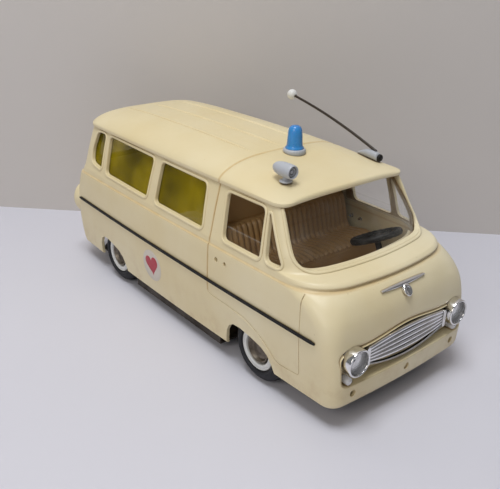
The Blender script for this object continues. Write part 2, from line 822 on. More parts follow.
def pod_oval(halves, side):
    """Oval outline of a tail lamp."""
    return [(side * POD_X + halves[0] * a, POD_Z + halves[1] * b) for a, b in disc(1.0, 40)]


def tail_pod(side):
    """Tail lamp housing that swells out of a rear corner."""
    base = tail_y(POD_Z) - TAIL_BOW
    wide, tall = POD_HALF
    rings = []
    for inset, place in ((3.0, -9.0), (1.4, -6.2), (0.6, -4.2), (0.15, -2.4), (0.0, -0.6),
                         (0.1, 0.2), (0.5, 0.9), (1.1, 1.5), (1.5, 1.9)):
        halves = (wide - mm(inset), tall - mm(inset))
        rings.append([(x, base + mm(place), z) for x, z in pod_oval(halves, side)])
    return loft(rings)


def arch_outline(axle, stretch):
    """Outline of a wheel arch with its corners eased."""
    return refined([(axle + a * stretch, z) for a, z in ARCH_OUTLINE], mm(1.5))


def seam_tool(side, path, radius):
    """Cutter that draws a groove along the body's side."""
    places = refined(list(path), mm(2.4), closed=False)
    points, normals = zip(*(side_point(side, y, z) for y, z in places))
    return sweep(points, normals, disc(radius, 6), False)


def bead(places, width, height, closed=True, scales=None):
    """Rounded bead along surface points that are paired with the ways out of them."""
    points, normals = zip(*places)
    return sweep(points, normals, half_round(width, height, BEAD_ROOT), closed, scales)


def window_outlines():
    """Rounded outlines of the side windows."""
    windows = (DOOR_WINDOW, QUARTER_LIGHT, SIDE_WINDOW_C, SIDE_WINDOW_B, SIDE_WINDOW_A)
    return [outline_round(w, WINDOW_ROUND, 7) for w in windows]


def body_beads():
    """Lips of the windows and the ridges of the wheel arches."""
    width, height = sizes().lip_width, sizes().lip_height
    shapes = []
    for side in (-1, 1):
        for outline in window_outlines():
            path = offset_outline(refined(outline, mm(2.5)), width / 2 + LIP_ROOM)
            shapes.append(bead([side_point(side, y, z) for y, z in path], width, height))
        ridge = [side_point(side, y, z) for y, z in refined(list(ARCH_RIDGE), mm(1.5), False)]
        shapes.append(bead(ridge, mm(0.9), mm(0.22), False, tapers(len(ridge), 0.2)))
    screen = [p for p in windscreen_outline() if p[1] < TOP_Z - mm(0.2)]
    ends = windscreen_outline()
    share = (ends[0][1] - TOP_Z + mm(0.4)) / (ends[0][1] - screen[0][1])
    top = tuple(Vector(ends[0]).lerp(Vector(screen[0]), share))
    path = refined([top] + screen + [(-top[0], top[1])], mm(2.0), False)
    outline = offset_outline(path, width / 2 + LIP_ROOM)
    outline[0] = (path[0][0] - width / 2, path[0][1])
    outline[-1] = (path[-1][0] + width / 2, path[-1][1])
    shapes.append(bead([nose_point(x, z) for x, z in outline], width, height, False))
    rear = refined(outline_round(REAR_WINDOW, WINDOW_ROUND, 7), mm(2.5))
    rear = offset_outline(rear, width / 2 + LIP_ROOM)
    places = [Vector((x, tail_y(z) - TAIL_BOW * (x / side_half_width(REAR_Y, z)) ** 2, z))
              for x, z in rear]
    shapes.append(bead([(place, Vector((0, 1, 0.15))) for place in places], width, height))
    return shapes


def wheel_rooms():
    """Stepped rooms for the wheels, so that the wall over them thins out."""
    return [prism(disc(radius, 64, (y, AXLE_Z)), "X", -high, high)
            for y, _ in AXLES for radius, high in WHEEL_ROOMS]


def small_holes():
    """Rear window and the screw holes of the lost bumper and handle."""
    holes = [prism(outline_round(REAR_WINDOW, WINDOW_ROUND, 7), "Y", REAR_Y - mm(21), REAR_Y)]
    holes += [prism(disc(mm(1.6), 24, (x, BUMPER_HOLE_Z)), "Y", FRONT_Y - mm(1), FRONT_Y + mm(7))
              for x in BUMPER_HOLES]
    return holes + [prism(disc(mm(0.95 if k else 1.15), 20, place), "X", -THROUGH, THROUGH)
                    for k, place in enumerate(reversed(HANDLE_HOLES))]


def screw_boss(y, brace_z):
    """Hollow post for a chassis screw, braced to the nearer end wall from a height up."""
    low, high = BOSS_Z
    wall = inner_nose_y(high) if y < 0 else tail_y(high) - WALL
    front, rear = sorted((y, wall + math.copysign(WALL / 2, y)))
    half = mm(1.6)
    post = modelled("boss", prism(disc(BOSS_RADIUS, 32, (0.0, y)), "Z", low, high))
    carve(post, prism([(-half, front), (half, front), (half, rear), (-half, rear)], "Z",
                      brace_z, high), "UNION")
    carve(post, prism(disc(BOSS_HOLE_RADIUS, 24, (0.0, y)), "Z", low - mm(1), high - mm(2)))
    return post


class ToyVanBody(bpy.types.Operator):
    """Model the moulded body with its openings, lips and seams"""
    bl_idname = "toy_van.body"
    bl_label = "Body"

    def execute(self, context):
        body = modelled("body", loft(body_rings()))
        tidy_mesh(body)
        for side in (-1, 1):
            carve(body, tail_pod(side), "UNION")
        carve(body, cavity())
        carve(body, joined([prism(o, "X", -THROUGH, THROUGH) for o in window_outlines()]))
        carve(body, prism(windscreen_outline(), "Y", FRONT_Y, QUARTER_STEP_Y + mm(2)))
        for room in wheel_rooms():
            carve(body, room)
        carve(body, joined([prism(arch_outline(*axle), "X", -THROUGH, THROUGH)
                            for axle in AXLES]))
        carve(body, mouth_cutter())
        carve(body, joined(small_holes()))
        for side in (-1, 1):
            carve(body, seam_tool(side, DOOR_SEAM, sizes().seam_radius))
        beads = modelled("beads", joined(body_beads()))
        tidy_mesh(beads)
        tidy_mesh(body)
        body = merged([body, beads], "body_moulding")
        settle(body, "cream_plastic", nodes=("body_shell",), angle=32.0, clean=False)
        bosses = [screw_boss(-BOSS_Y, mm(14.3)), screw_boss(BOSS_Y, mm(9.8))]
        settle(merged(bosses, "screw_bosses"), "cream_plastic")
        return {"FINISHED"}


# Roof

def roof_grid(inset, sink, fast):
    """Points over the roof with its grooves and ribs, drawn in and sunk."""
    count = 18 if fast else 44
    shares = sorted({round(math.sin(k / count * math.pi / 2), 5) for k in range(count + 1)})
    across = [-s for s in reversed(shares[1:])] + shares
    ends = ((0.0, 0.02, 0.002), (0.235, 0.252, 0.0009), (0.92, 1.0, 0.006))
    rows = []
    for t in graded(0.0, 1.0, 0.04 if fast else 0.013, ends):
        y = blend(ROOF_FRONT_Y, ROOF_REAR_Y, t)
        half = roof_half_width(y)
        place = blend(ROOF_FRONT_Y + inset, ROOF_REAR_Y - inset, t)
        room = min(y - ROOF_FRONT_Y, ROOF_REAR_Y - y)
        past = max(1 - room / mm(1.4), 0.0)
        drop = mm(1.0) * (1 - math.sqrt(1 - past**2))
        groove = mm(0.28) * math.exp(-((y - ROOF_CROSS_Y) / mm(0.45)) ** 2)
        rows.append([(s * (half - inset), place,
                      roof_z(s * half, y) - sink - (drop + groove) * (1 - abs(s) ** 8))
                     for s in across])
    return rows


def rim_of(grid):
    """Edge points of a grid, in order round it."""
    return (list(grid[0]) + [row[-1] for row in grid[1:]] + list(reversed(grid[-1]))[1:]
            + [row[0] for row in reversed(grid[1:-1])])


def roof_shape(fast):
    """Roof shell with its rounded lip."""
    outer, inner = roof_grid(0.0, 0.0, fast), roof_grid(ROOF_WALL, ROOF_WALL, fast)
    rows, columns = len(outer), len(outer[0])
    verts = [p for grid in (outer, inner) for row in grid for p in row]
    faces = []
    for shift in (0, rows * columns):
        for r in range(rows - 1):
            for c in range(columns - 1):
                a, b = shift + r * columns + c, shift + (r + 1) * columns + c
                faces.append((a, a + 1, b + 1, b))
    edge, under = rim_of(outer), rim_of(inner)
    middle = Vector((0.0, (ROOF_FRONT_Y + ROOF_REAR_Y) / 2))
    loops = [edge]
    for share, draw in ((0.5, 0.0), (0.85, 0.02), (1.0, 0.18)):
        loop = []
        for x, y, z in edge:
            out = (Vector((x, y)) - middle).normalized() * mm(draw)
            low = roof_lip_z(x, y)
            loop.append((x - out.x, y - out.y, blend(z, low, share)))
        loops.append(loop)
    loops.append([(a[0], a[1], b[2]) for a, b in zip(under, loops[-1])])
    loops.append(under)
    count, start = len(edge), len(verts)
    for loop in loops:
        verts.extend(loop)
    for k in range(len(loops) - 1):
        for i in range(count):
            j = (i + 1) % count
            a, b = start + k * count, start + (k + 1) * count
            faces.append((a + i, a + j, b + j, b + i))
    return verts, faces


class ToyVanRoof(bpy.types.Operator):
    """Model the separate roof with its cross line and lengthwise ribs"""
    bl_idname = "toy_van.roof"
    bl_label = "Roof"

    def execute(self, context):
        roof = modelled("roof", roof_shape(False))
        tidy_mesh(roof)
        z = roof_z(*SEARCHLIGHT)
        carve(roof, prism(disc(SEARCHLIGHT_PIN, 32, SEARCHLIGHT), "Z", z - mm(5), z + mm(4)))
        ribs = []
        for x in ROOF_RIBS_X:
            places = [Vector((x, y, roof_z(x, y)))
                      for y in spread(ROOF_CROSS_Y + mm(2.0), mm(90), 60)]
            section = half_round(mm(2.6), sizes().roof_rib_height, mm(0.3), 10)
            ribs.append(sweep(places, [Vector((0, 0, 1))] * len(places), section, False,
                              tapers(len(places), 0.12)))
        beads = modelled("ribs", joined(ribs))
        tidy_mesh(beads)
        tidy_mesh(roof)
        settle(merged([roof, beads], "roof_moulding"), "cream_plastic", nodes=("roof_shell",),
               angle=40.0, clean=False)
        return {"FINISHED"}


# Glazing

def screen_columns(z, depth):
    """Plan points of the windscreen moulding from the centre line to the door."""
    inset = WALL + mm(0.5) + depth
    front = nose_half(z, inner_nose_y(z) + mm(0.5) + depth, inset, 12, 10)
    start = front[-1][1]
    side = [(side_half_width(y, z) - inset, y) for y in spread(start, QUARTER_STEP_Y, 5)[1:]]
    side += [(side_half_width(y, z) - inset, y)
             for y in spread(QUARTER_STEP_Y, DOOR_GLASS_REAR_Y, 14)[1:]]
    return front + side


def pane_levels():
    """Heights of the rows of the panes."""
    return spread(GLASS_LOW, DOOR_GLASS_TOP, 6) + spread(DOOR_GLASS_TOP, GLASS_HIGH, 14)[1:]


def pane(columns_at, keep=None):
    """Bent sheet from a function of height and depth."""
    grids = [[[(x, y, z) for x, y in columns_at(z, depth)] for z in pane_levels()]
             for depth in (0.0, GLASS)]
    return slab(grids[0], grids[1], keep)


class ToyVanGlazing(bpy.types.Operator):
    """Model the clear windscreen moulding and the yellow panes"""
    bl_idname = "toy_van.glazing"
    bl_label = "Glazing"

    def execute(self, context):
        def whole(z, depth):
            right = screen_columns(z, depth)
            return [(-x, y) for x, y in reversed(right[1:])] + right

        count = 2 * len(screen_columns(GLASS_LOW, 0.0)) - 1

        def keep(row, column):
            return row < 6 or not (column < 14 or column >= count - 15)

        screen = modelled("windscreen_moulding", pane(whole, keep))
        tidy_mesh(screen)
        rounded(screen, mm(0.2), 2, 50)
        settle(screen, "clear_plastic", nodes=("windscreen",))
        for side, hand in HANDS:
            def columns(z, depth, side=side):
                full = WALL + GAP + depth
                return [(side * (side_half_width(y, z) - full), y)
                        for y in spread(SIDE_GLASS_FRONT_Y, tail_y(z) - SIDE_GLASS_MARGIN, 40)]
            item = modelled("side_pane_" + hand, pane(columns))
            settle(item, "yellow_plastic", nodes=("side_glazing_" + hand,))

        def tail(z, depth):
            full = WALL + GAP + depth
            right = tail_half(z, tail_y(z) - full, full, 10, 8)[1:]
            return right + [(-x, y) for x, y in reversed(right[:-1])]

        settle(modelled("rear_pane", pane(tail)), "yellow_plastic", nodes=("rear_glazing",))
        return {"FINISHED"}


# Cab

def cab_shape():
    """Floor, ribbed bench and bulkhead as one bent sheet."""
    points = [(mm(a), mm(b)) for a, b, _, _ in CAB_PATH]
    rows = []
    for i, (y, z) in enumerate(points):
        if 0 < i < len(points) - 2:
            before, here, after = (Vector(points[k]) for k in (i - 1, i, i + 1))
            reach = min(CAB_BEND, 0.4 * (before - here).length, 0.4 * (after - here).length)
            start = here + (before - here).normalized() * reach
            end = here + (after - here).normalized() * reach
            for k in range(5):
                rows.append((*bezier(start, here, end, k / 4), CAB_PATH[i][2], 0))
        else:
            rows.append((y, z, CAB_PATH[i][2], CAB_PATH[i][3]))
    fine = [rows[0]]
    for a, b in zip(rows, rows[1:]):
        length = math.hypot(b[0] - a[0], b[1] - a[1])
        count = max(1, round(length / mm(3)))
        for k in range(1, count + 1):
            t = k / count
            ribbed = blend(a[2], b[2], t)
            fine.append((blend(a[0], b[0], t), blend(a[1], b[1], t), ribbed,
                         b[3] if t == 1 else a[3] * b[3]))
    count = sizes().seat_ribs
    columns = spread(-1.0, 1.0, count * 8)
    upper, lower = [], []
    for i, (y, z, ribbed, follows) in enumerate(fine):
        before, after = fine[max(i - 1, 0)], fine[min(i + 1, len(fine) - 1)]
        along = Vector((after[0] - before[0], after[1] - before[1])).normalized()
        out = Vector((-along.y, along.x))
        half = side_half_width(y, z) - WALL - GAP if follows else CAB_HALF
        top_row, bottom_row = [], []
        for k, share in enumerate(columns):
            wave = 0.5 - 0.5 * math.cos(2 * math.pi * (k % 8) / 8)
            rib = SEAT_RIB * ribbed * min(wave * 1.6, 1.0)
            top_row.append((share * half, y + out.x * rib, z + out.y * rib))
            bottom_row.append((share * half, y - out.x * CAB_SHEET, z - out.y * CAB_SHEET))
        upper.append(top_row)
        lower.append(bottom_row)
    return slab(upper, lower)


def steering_matrix():
    """Place and lean of the steering wheel."""
    return Matrix.Translation(STEERING_PLACE) @ Matrix.Rotation(-STEERING_TILT, 4, "X")


def make_steering():
    """Steering wheel with finger grips, three spokes, hub and column."""
    steps = 96
    rings = []
    for k in range(steps):
        angle = 2 * math.pi * k / steps
        thick = mm(1.5) * (1 + 0.05 * math.cos(angle * 24))
        ring = []
        for a, b in disc(1.0, 14):
            radius = STEERING_RADIUS - mm(1.15) + mm(1.15) * a
            ring.append((radius * math.cos(angle), radius * math.sin(angle), thick * b))
        rings.append(ring)
    parts = [modelled("steering_rim", loft(rings, ring_closed=True))]
    reach = STEERING_RADIUS - mm(1.5)
    for turn in (0.0, math.pi, -math.pi / 2):
        bar = []
        for t in spread(0.0, 1.0, 8):
            half = mm(1.2) + mm(0.7) * (1 - t) ** 3
            dip = -mm(0.5) * (1 - t)
            bar.append([(reach * t, half * a, mm(0.55) * b + dip) for a, b in disc(1.0, 14)])
        spoke = modelled("spoke", loft(bar))
        parts.append(placed(spoke, Matrix.Rotation(turn, 4, "Z")))
    length = mm(20.7) / math.cos(STEERING_TILT) + mm(1.0)
    parts.append(turned("hub", [(0, mm(0.9)), (mm(1.6), mm(0.9)), (mm(2.6), mm(0.5)),
                                (mm(3.0), mm(-0.2)), (mm(3.0), mm(-2.2)), (mm(2.4), mm(-2.6)),
                                (mm(1.4), mm(-2.8)), (mm(1.4), -length), (0, -length)], 40))
    wheel = merged(parts, "steering_wheel_moulding")
    placed(wheel, steering_matrix())
    settle(wheel, "black_plastic", "steering", ("steering_wheel",))


class ToyVanCab(bpy.types.Operator):
    """Model the cab floor, the ribbed bench, the shelf and the steering wheel"""
    bl_idname = "toy_van.cab"
    bl_label = "Cab"

    def execute(self, context):
        cab = modelled("cab_moulding", cab_shape())
        tidy_mesh(cab)
        column = loft([[tuple(steering_matrix() @ Vector((a, b, z))) for a, b in disc(mm(1.6), 24)]
                       for z in (mm(-10), mm(-34))])
        carve(cab, column)
        settle(cab, "brown_cab", nodes=("cab_interior",), angle=40.0)
        top = GLASS_LOW - GAP
        right = nose_half(top, inner_nose_y(top) + 2 * GAP, WALL + GAP, 24, 12)
        while right[-1][1] > mm(-79.5):
            right.pop()
        rings = []
        for x, y in [(-x, y) for x, y in reversed(right[1:])] + right:
            low, rear = top - mm(1.3), y + mm(2.9)
            rings.append([(x, y, low), (x, y, top), (x, rear - mm(0.4), top),
                          (x, rear - mm(0.1), top - mm(0.15)), (x, rear, top - mm(0.5)),
                          (x, rear, low)])
        settle(modelled("dash_shelf", loft(rings)), "cream_plastic", nodes=("dashboard",))
        make_steering()
        return {"FINISHED"}


# Wheels

def tyre():
    """Tyre with a rounded shoulder and shallow cross grooves in its tread."""
    tread, face = TYRE_RADIUS, TYRE_FACE
    bore = RIM_RADIUS + mm(0.3)
    section = [(bore + mm(a), face - mm(b))
               for a, b in ((0, 0.9), (0.3, 0.3), (1.0, 0), (1.6, 0), (1.9, 0.14))]
    section += [(tread - mm(a), face - mm(b))
                for a, b in ((3.6, 0.25), (2.9, 0.75), (2.1, 1.25), (1.3, 1.7), (0.6, 2.4),
                             (0.2, 3.2), (0, 4.2), (0, 7.4), (0.3, 8.2), (1.0, 8.8), (2.0, 9.0))]
    section.append((bore, face - TYRE_WIDTH))
    count = 180
    rings = []
    for k in range(count):
        angle = 2 * math.pi * k / count
        cut_in = mm(0.35) if k % 4 == 0 else 0.0
        ring = []
        for radius, place in section:
            depth = cut_in if radius > tread - mm(0.5) else 0.0
            ring.append((place, (radius - depth) * math.cos(angle),
                         (radius - depth) * math.sin(angle)))
        rings.append(ring)
    return modelled("tyre", loft(rings, ring_closed=True))


def wheel_rim():
    """White rim with a rolled edge and its hub."""
    face = TYRE_FACE - RIM_SINK
    inner = TYRE_FACE - TYRE_WIDTH + mm(0.6)
    profile = [(mm(a), face - mm(b)) for a, b in (
        (1.8, 3.2), (7.1, 3.2), (7.3, 2.4), (7.5, 0.5), (7.7, 0.1), (8.1, 0), (8.9, 0.1),
        (9.2, 0.32), (9.5, 0.1), (9.9, 0.2), (10.15, 0.5), (10.2, 0.9))]
    profile += [(RIM_RADIUS, inner), (mm(8.6), inner), (mm(8.6), face - mm(4.7)),
                (mm(3.2), face - mm(4.7)), (mm(3.2), inner), (mm(1.8), inner)]
    return turned("rim", profile, 96, "X")


def hub_cap():
    """Pressed metal cap: a raised ring round a dished middle with a shallow centre."""
    face = TYRE_FACE - RIM_SINK
    back = face - mm(2.9)
    front = [(mm(a), face - mm(b)) for a, b in (
        (0, 1.35), (1.4, 1.4), (2.3, 1.6), (2.9, 1.95), (4.4, 2.1), (5.1, 1.9), (5.6, 1.1),
        (5.9, 0.5), (6.2, 0.25), (6.5, 0.4), (6.7, 1.0), (6.8, 2.6))]
    rear = [(mm(6.8) - mm(0.35), back), (mm(5.6), back), (0.0, back + mm(0.1))]
    return turned("hub_cap", front + rear, 96, "X")


class ToyVanWheels(bpy.types.Operator):
    """Model one wheel and copy it to the four corners"""
    bl_idname = "toy_van.wheels"
    bl_label = "Wheels"

    def execute(self, context):
        pieces = ((tyre(), "tyre", "tyre_rubber"), (wheel_rim(), "rim", "white_plastic"),
                  (hub_cap(), "hub_cap", "tin_sheet"))
        for item, name, finish in pieces:
            tidy_mesh(item)
            for (y, _), axle in zip(AXLES, ("front", "rear")):
                for hand, flip in (("left", Matrix.Identity(4)),
                                   ("right", Matrix.Rotation(math.pi, 4, "Z"))):
                    corner = axle + "_" + hand
                    made = copy_of(item, name + "_" + corner + "_fine",
                                   Matrix.Translation((0, y, AXLE_Z)) @ flip)
                    settle(made, finish, axle + "_wheels", (name + "_" + corner,), clean=False)
            bpy.data.objects.remove(item, do_unlink=True)
        return {"FINISHED"}


# Nose fittings

def make_headlight(side, hand):
    """Plated bezel and faceted clear lens of one headlight."""
    x = side * HEADLIGHT[0]
    full = side_half_width(FRONT_Y, HEADLIGHT[1])
    bow = table_at(NOSE_BOW, HEADLIGHT[1]) * (HEADLIGHT[0] / full) ** 2
    back = mouth_back_y(HEADLIGHT[0]) - bow * 0.12
    back = min(back, mouth_back_y(HEADLIGHT[0] - HEADLIGHT_RADIUS)) - GAP
    front, radius = FRONT_Y, HEADLIGHT_RADIUS
    inner, floor, edge = radius - mm(0.9), front + mm(2.4), mm(0.45)
    profile = [(mm(0.8), back), (radius - mm(0.3), back), (radius, back - mm(0.6)),
               (radius, front + mm(0.9))]
    profile += [(radius + edge * (math.cos(a) - 1), front + edge * (1 - math.sin(a)))
                for a in spread(0.3, math.pi - 0.2, 8)]
    profile += [(inner, front + mm(0.7)), (inner - mm(0.05), floor),
                (inner * 0.8, floor + mm(0.3)), (inner * 0.5, floor + mm(0.75)),
                (mm(0.8), floor + mm(0.9))]
    bezel = turned("headlight_ring_" + hand, profile, 64, "Y")
    placed(bezel, Matrix.Translation((x, 0, HEADLIGHT[1])))
    settle(bezel, "plated_plastic", nodes=("headlight_bezel_" + hand,))
    reach = inner - GAP
    count = 72
    rings = []
    for share, deep in ((1.0, 2.1), (1.0, 1.1), (0.96, 0.9), (0.9, 0.75), (0.72, 0.45),
                        (0.5, 0.25), (0.28, 0.14), (0.06, 0.1)):
        ring, place = [], front + mm(deep)
        for k in range(count):
            angle = 2 * math.pi * k / count
            flute = mm(0.14) * (k % 3 == 0) * (0.2 < share < 0.93)
            ring.append((x + reach * share * math.cos(angle), place + flute,
                         HEADLIGHT[1] + reach * share * math.sin(angle)))
        rings.append(ring)
    settle(modelled("headlight_glass_" + hand, loft(rings)), "lamp_glass",
           nodes=("headlight_lens_" + hand,), angle=12.0)


def make_indicator(side, hand):
    """Small round clear indicator with a ringed face."""
    x = side * INDICATOR[0]
    radius = mm(1.7)
    back = mouth_back_y(INDICATOR[0] - radius) - GAP
    front = back - mm(1.3)
    item = turned("indicator_glass_" + hand, [
        (0, back), (radius * 0.8, back), (radius, back - mm(0.4)), (radius, front - mm(2.2)),
        (radius * 0.92, front - mm(2.5)), (radius * 0.8, front - mm(2.65)),
        (radius * 0.7, front - mm(2.6)), (radius * 0.55, front - mm(2.95)),
        (radius * 0.3, front - mm(3.15)), (0, front - mm(3.2))], 48, "Y")
    placed(item, Matrix.Translation((x, 0, INDICATOR[1])))
    settle(item, "jewel", nodes=("indicator_" + hand,))


def grille_bar(low_high, front, depth, half, round_face=True):
    """Bar across the grille whose face is rounded between two changing heights."""
    rings = []
    for x in spread(-half, half, 40):
        low, high = low_high(x)
        face = mouth_back_y(x) + front
        middle, reach = (low + high) / 2, (high - low) / 2
        ring = [(x, face + depth, low), (x, face + depth, high)]
        steps = 8 if round_face else 1
        for k in range(steps + 1):
            a = math.pi / 2 - math.pi * k / steps
            dip = depth * 0.45 * (1 - math.cos(a)) if round_face else 0.0
            ring.append((x, face + dip, middle + reach * math.sin(a)))
        rings.append(ring)
    return loft(rings)


def make_grille():
    """Plated grille of bowed ribs between two end plates, over a black back."""
    half, front, rib = GRILLE_HALF, GRILLE_FRONT, GRILLE_RIB
    count = sizes().grille_ribs

    def heights(number):
        def at(x):
            low = curved(GRILLE_RIB_LOW, x, half)
            pitch = (curved(GRILLE_TOP, x, half) - low - rib) / (count - 1)
            return low + pitch * number, low + pitch * number + rib * 0.94
        return at

    def lip(x):
        low = curved(GRILLE_LOW, x, half)
        return low, low + mm(0.75)

    reach = half - mm(0.8)
    bars = [grille_bar(heights(k), front, mm(1.5), reach) for k in range(count)]
    bars.append(grille_bar(lip, front, mm(1.5), reach))
    item = modelled("grille_bars", joined(bars))
    parts = [item]
    for side in (-1, 1):
        low_x, high_x = sorted((side * (half - mm(1.6)), side * half))
        low_y = min(mouth_back_y(low_x), mouth_back_y(high_x)) + front - mm(0.1)
        low_z = curved(GRILLE_LOW, half - mm(1.6), half) + mm(0.15)
        high_z = GRILLE_TOP[1] + mm(0.1)
        plate = outline_round([(low_x, low_z), (high_x, low_z), (high_x, high_z),
                               (low_x, high_z)], mm(0.5), 4)
        post = modelled("post", prism(plate, "Y", low_y, low_y + mm(1.8)))
        rounded(post, mm(0.22), 2)
        parts.append(post)
    settle(merged(parts, "grille_bars"), "plated_plastic", nodes=("grille_ribs",))

    def plate_heights(x):
        return curved(GRILLE_LOW, x, half) + mm(0.3), curved(GRILLE_TOP, x, half) + mm(0.05)

    back = modelled("grille_plate", grille_bar(plate_heights, mm(-1.3), mm(1.0), half, False))
    rounded(back, mm(0.15), 2, 60)
    settle(back, "black_plastic", nodes=("grille_back",))


def make_nose_bar():
    """Plain tapering bar with a round boss under its middle."""
    half = mm(13.5)
    rings = []
    for x in spread(-half, half, 48):
        tall = mm(1.3) * (1.0 - 0.65 * (x / half) ** 2) / 2
        full = side_half_width(nose_y(NOSE_BAR_Z), NOSE_BAR_Z)
        bow = table_at(NOSE_BOW, NOSE_BAR_Z) * (x / full) ** 2
        low, high = (nose_y(NOSE_BAR_Z + s * tall) + bow - GAP for s in (-1, 1))
        ring = [(x, low, NOSE_BAR_Z - tall)]
        for k in range(9):
            a = -math.pi / 2 + math.pi * k / 8
            ring.append((x, blend(low, high, k / 8) - mm(0.35) - mm(0.55) * math.cos(a),
                         NOSE_BAR_Z + tall * math.sin(a)))
        ring.append((x, high, NOSE_BAR_Z + tall))
        rings.append(ring)
    bar = modelled("nose_bar_plated", loft(rings))
    boss = []
    for radius, proud in ((2.3, 0.3), (2.3, 1.3), (2.15, 1.65), (1.8, 1.85), (1.4, 1.8),
                          (1.15, 1.6), (0.5, 1.6)):
        boss.append([(x, nose_y(z) - mm(proud), z)
                     for x, z in disc(mm(radius), 48, (0.0, NOSE_BOSS_Z))])
    item = merged([bar, modelled("boss", loft(boss))], "nose_bar_plated")
    settle(item, "plated_plastic", nodes=("nose_bar",))


class ToyVanNose(bpy.types.Operator):
    """Model the headlights, the indicators, the grille and the nose bar"""
    bl_idname = "toy_van.nose"
    bl_label = "Nose fittings"

    def execute(self, context):
        for side, hand in HANDS:
            make_headlight(side, hand)
            make_indicator(side, hand)
        make_grille()
        make_nose_bar()
        return {"FINISHED"}


# Sides and tail

def make_trim(side, hand):
    """Black strip with a fine edge line along the body's side."""
    section = ((-0.85, 0.0), (-0.85, 0.45), (-0.7, 0.6), (-0.45, 0.6), (-0.38, 0.5),
               (0.38, 0.5), (0.45, 0.6), (0.7, 0.6), (0.85, 0.45), (0.85, 0.0))
    rings = []
    for share in spread(0.0, 1.0, 90):
        y = blend(*TRIM_ENDS, share)
        tip = 0.45 + 0.55 * smooth_step(0.0, TRIM_TIP, min(share, 1.0 - share))
        ring = []
        for across, out in section:
            z = TRIM_Z + TRIM_RISE * share + mm(across) * 0.86 * tip
            ring.append((side * (side_half_width(y, z) + GAP + mm(out)), y, z))
        rings.append(ring)
    settle(modelled("trim_" + hand, loft(rings)), "black_plastic", nodes=("trim_strip_" + hand,))


def make_emblem(side, hand):
    """Thin pale roundel with a leaning red heart on the body's side."""
    def lifted(places, out):
        return [tuple(point + normal * out)
                for point, normal in (side_point(side, y, z) for y, z in places)]

    def skin(outline, low, high):
        count = len(outline)
        centre = (sum(p[0] for p in outline) / count, sum(p[1] for p in outline) / count)
        rings = [lifted(offset_outline(outline, -inset), out)
                 for inset, out in ((0.0, low), (0.0, high - mm(0.03)), (mm(0.06), high))]
        rings += [lifted([(blend(centre[0], y, share), blend(centre[1], z, share))
                          for y, z in outline], high) for share in (0.75, 0.5, 0.25, 0.02)]
        return loft(rings)

    pale = modelled("roundel_" + hand, skin(disc(EMBLEM_RADIUS, 72, EMBLEM), mm(-0.1), mm(0.10)))
    settle(pale, "roundel_print")
    heart = []
    for k in range(72):
        t = 2 * math.pi * k / 72
        a = 16 * math.sin(t) ** 3
        b = 13 * math.cos(t) - 5 * math.cos(2 * t) - 2 * math.cos(3 * t) - math.cos(4 * t)
        y = a * math.cos(HEART_LEAN) + b * math.sin(HEART_LEAN)
        z = b * math.cos(HEART_LEAN) - a * math.sin(HEART_LEAN)
        heart.append((EMBLEM[0] + HEART_SCALE * y, EMBLEM[1] + HEART_SCALE * z + mm(0.6)))
    red = modelled("heart_" + hand, skin(heart, mm(0.0), mm(0.18)))
    settle(red, "red_print")


def make_handle():
    """Left door handle: a waisted grip on two pins."""
    y0, y1, z0 = HANDLE_HOLES[0][0], HANDLE_HOLES[1][0], HANDLE_HOLES[0][1]
    low = side_half_width(y0, z0) + GAP
    rings = []
    for t in spread(0.0, 1.0, 24):
        y = blend(y0 - mm(1.4), y1 + mm(1.6), t)
        end = math.sin(min(t, 1 - t, 0.12) / 0.12 * math.pi / 2)
        tall = mm(0.9) * max(end, 0.25) * (1 - 0.15 * math.sin(math.pi * t))
        deep = mm(0.6) * max(end, 0.3)
        rings.append([(low + deep + deep * a, y, z0 + tall * b) for a, b in disc(1.0, 14)])
    parts = [modelled("handle", loft(rings))]
    for y in (y0, y1):
        parts.append(modelled("pin", prism(disc(mm(0.6), 20, (y, z0)), "X", low - mm(3.0),
                                           low + mm(0.6))))
    settle(merged(parts, "door_handle_plated"), "plated_plastic", nodes=("door_handle_left",))


def make_tail_lamp(side, hand):
    """Oval red lens with fine upright flutes."""
    base = tail_y(POD_Z) - TAIL_BOW + POD_PROUD + GAP
    deep = REAR_Y - base
    rings = []
    for share, place in ((1.0, 0.0), (1.0, 0.35), (0.97, 0.5), (0.9, 0.66), (0.78, 0.82),
                         (0.6, 0.92), (0.4, 0.98), (0.2, 1.0), (0.04, 1.0)):
        ring = []
        for a, b in disc(1.0, 72):
            x, z = LENS_HALF[0] * share * a, LENS_HALF[1] * share * b
            flute = mm(0.07) * (math.cos(x / mm(0.8) * 2 * math.pi) - 1) * (share < 0.9)
            ring.append((side * POD_X + x, base + deep * place + flute, POD_Z + z))
        rings.append(ring)
    settle(modelled("tail_glass_" + hand, loft(rings)), "red_plastic",
           nodes=("tail_lamp_" + hand,), angle=25.0)


class ToyVanSides(bpy.types.Operator):
    """Model the trim strips, the emblems, the door handle and the tail lamps"""
    bl_idname = "toy_van.sides"
    bl_label = "Sides and tail"

    def execute(self, context):
        for side, hand in HANDS:
            make_trim(side, hand)
            make_emblem(side, hand)
            make_tail_lamp(side, hand)
        make_handle()
        return {"FINISHED"}


# Roof fittings

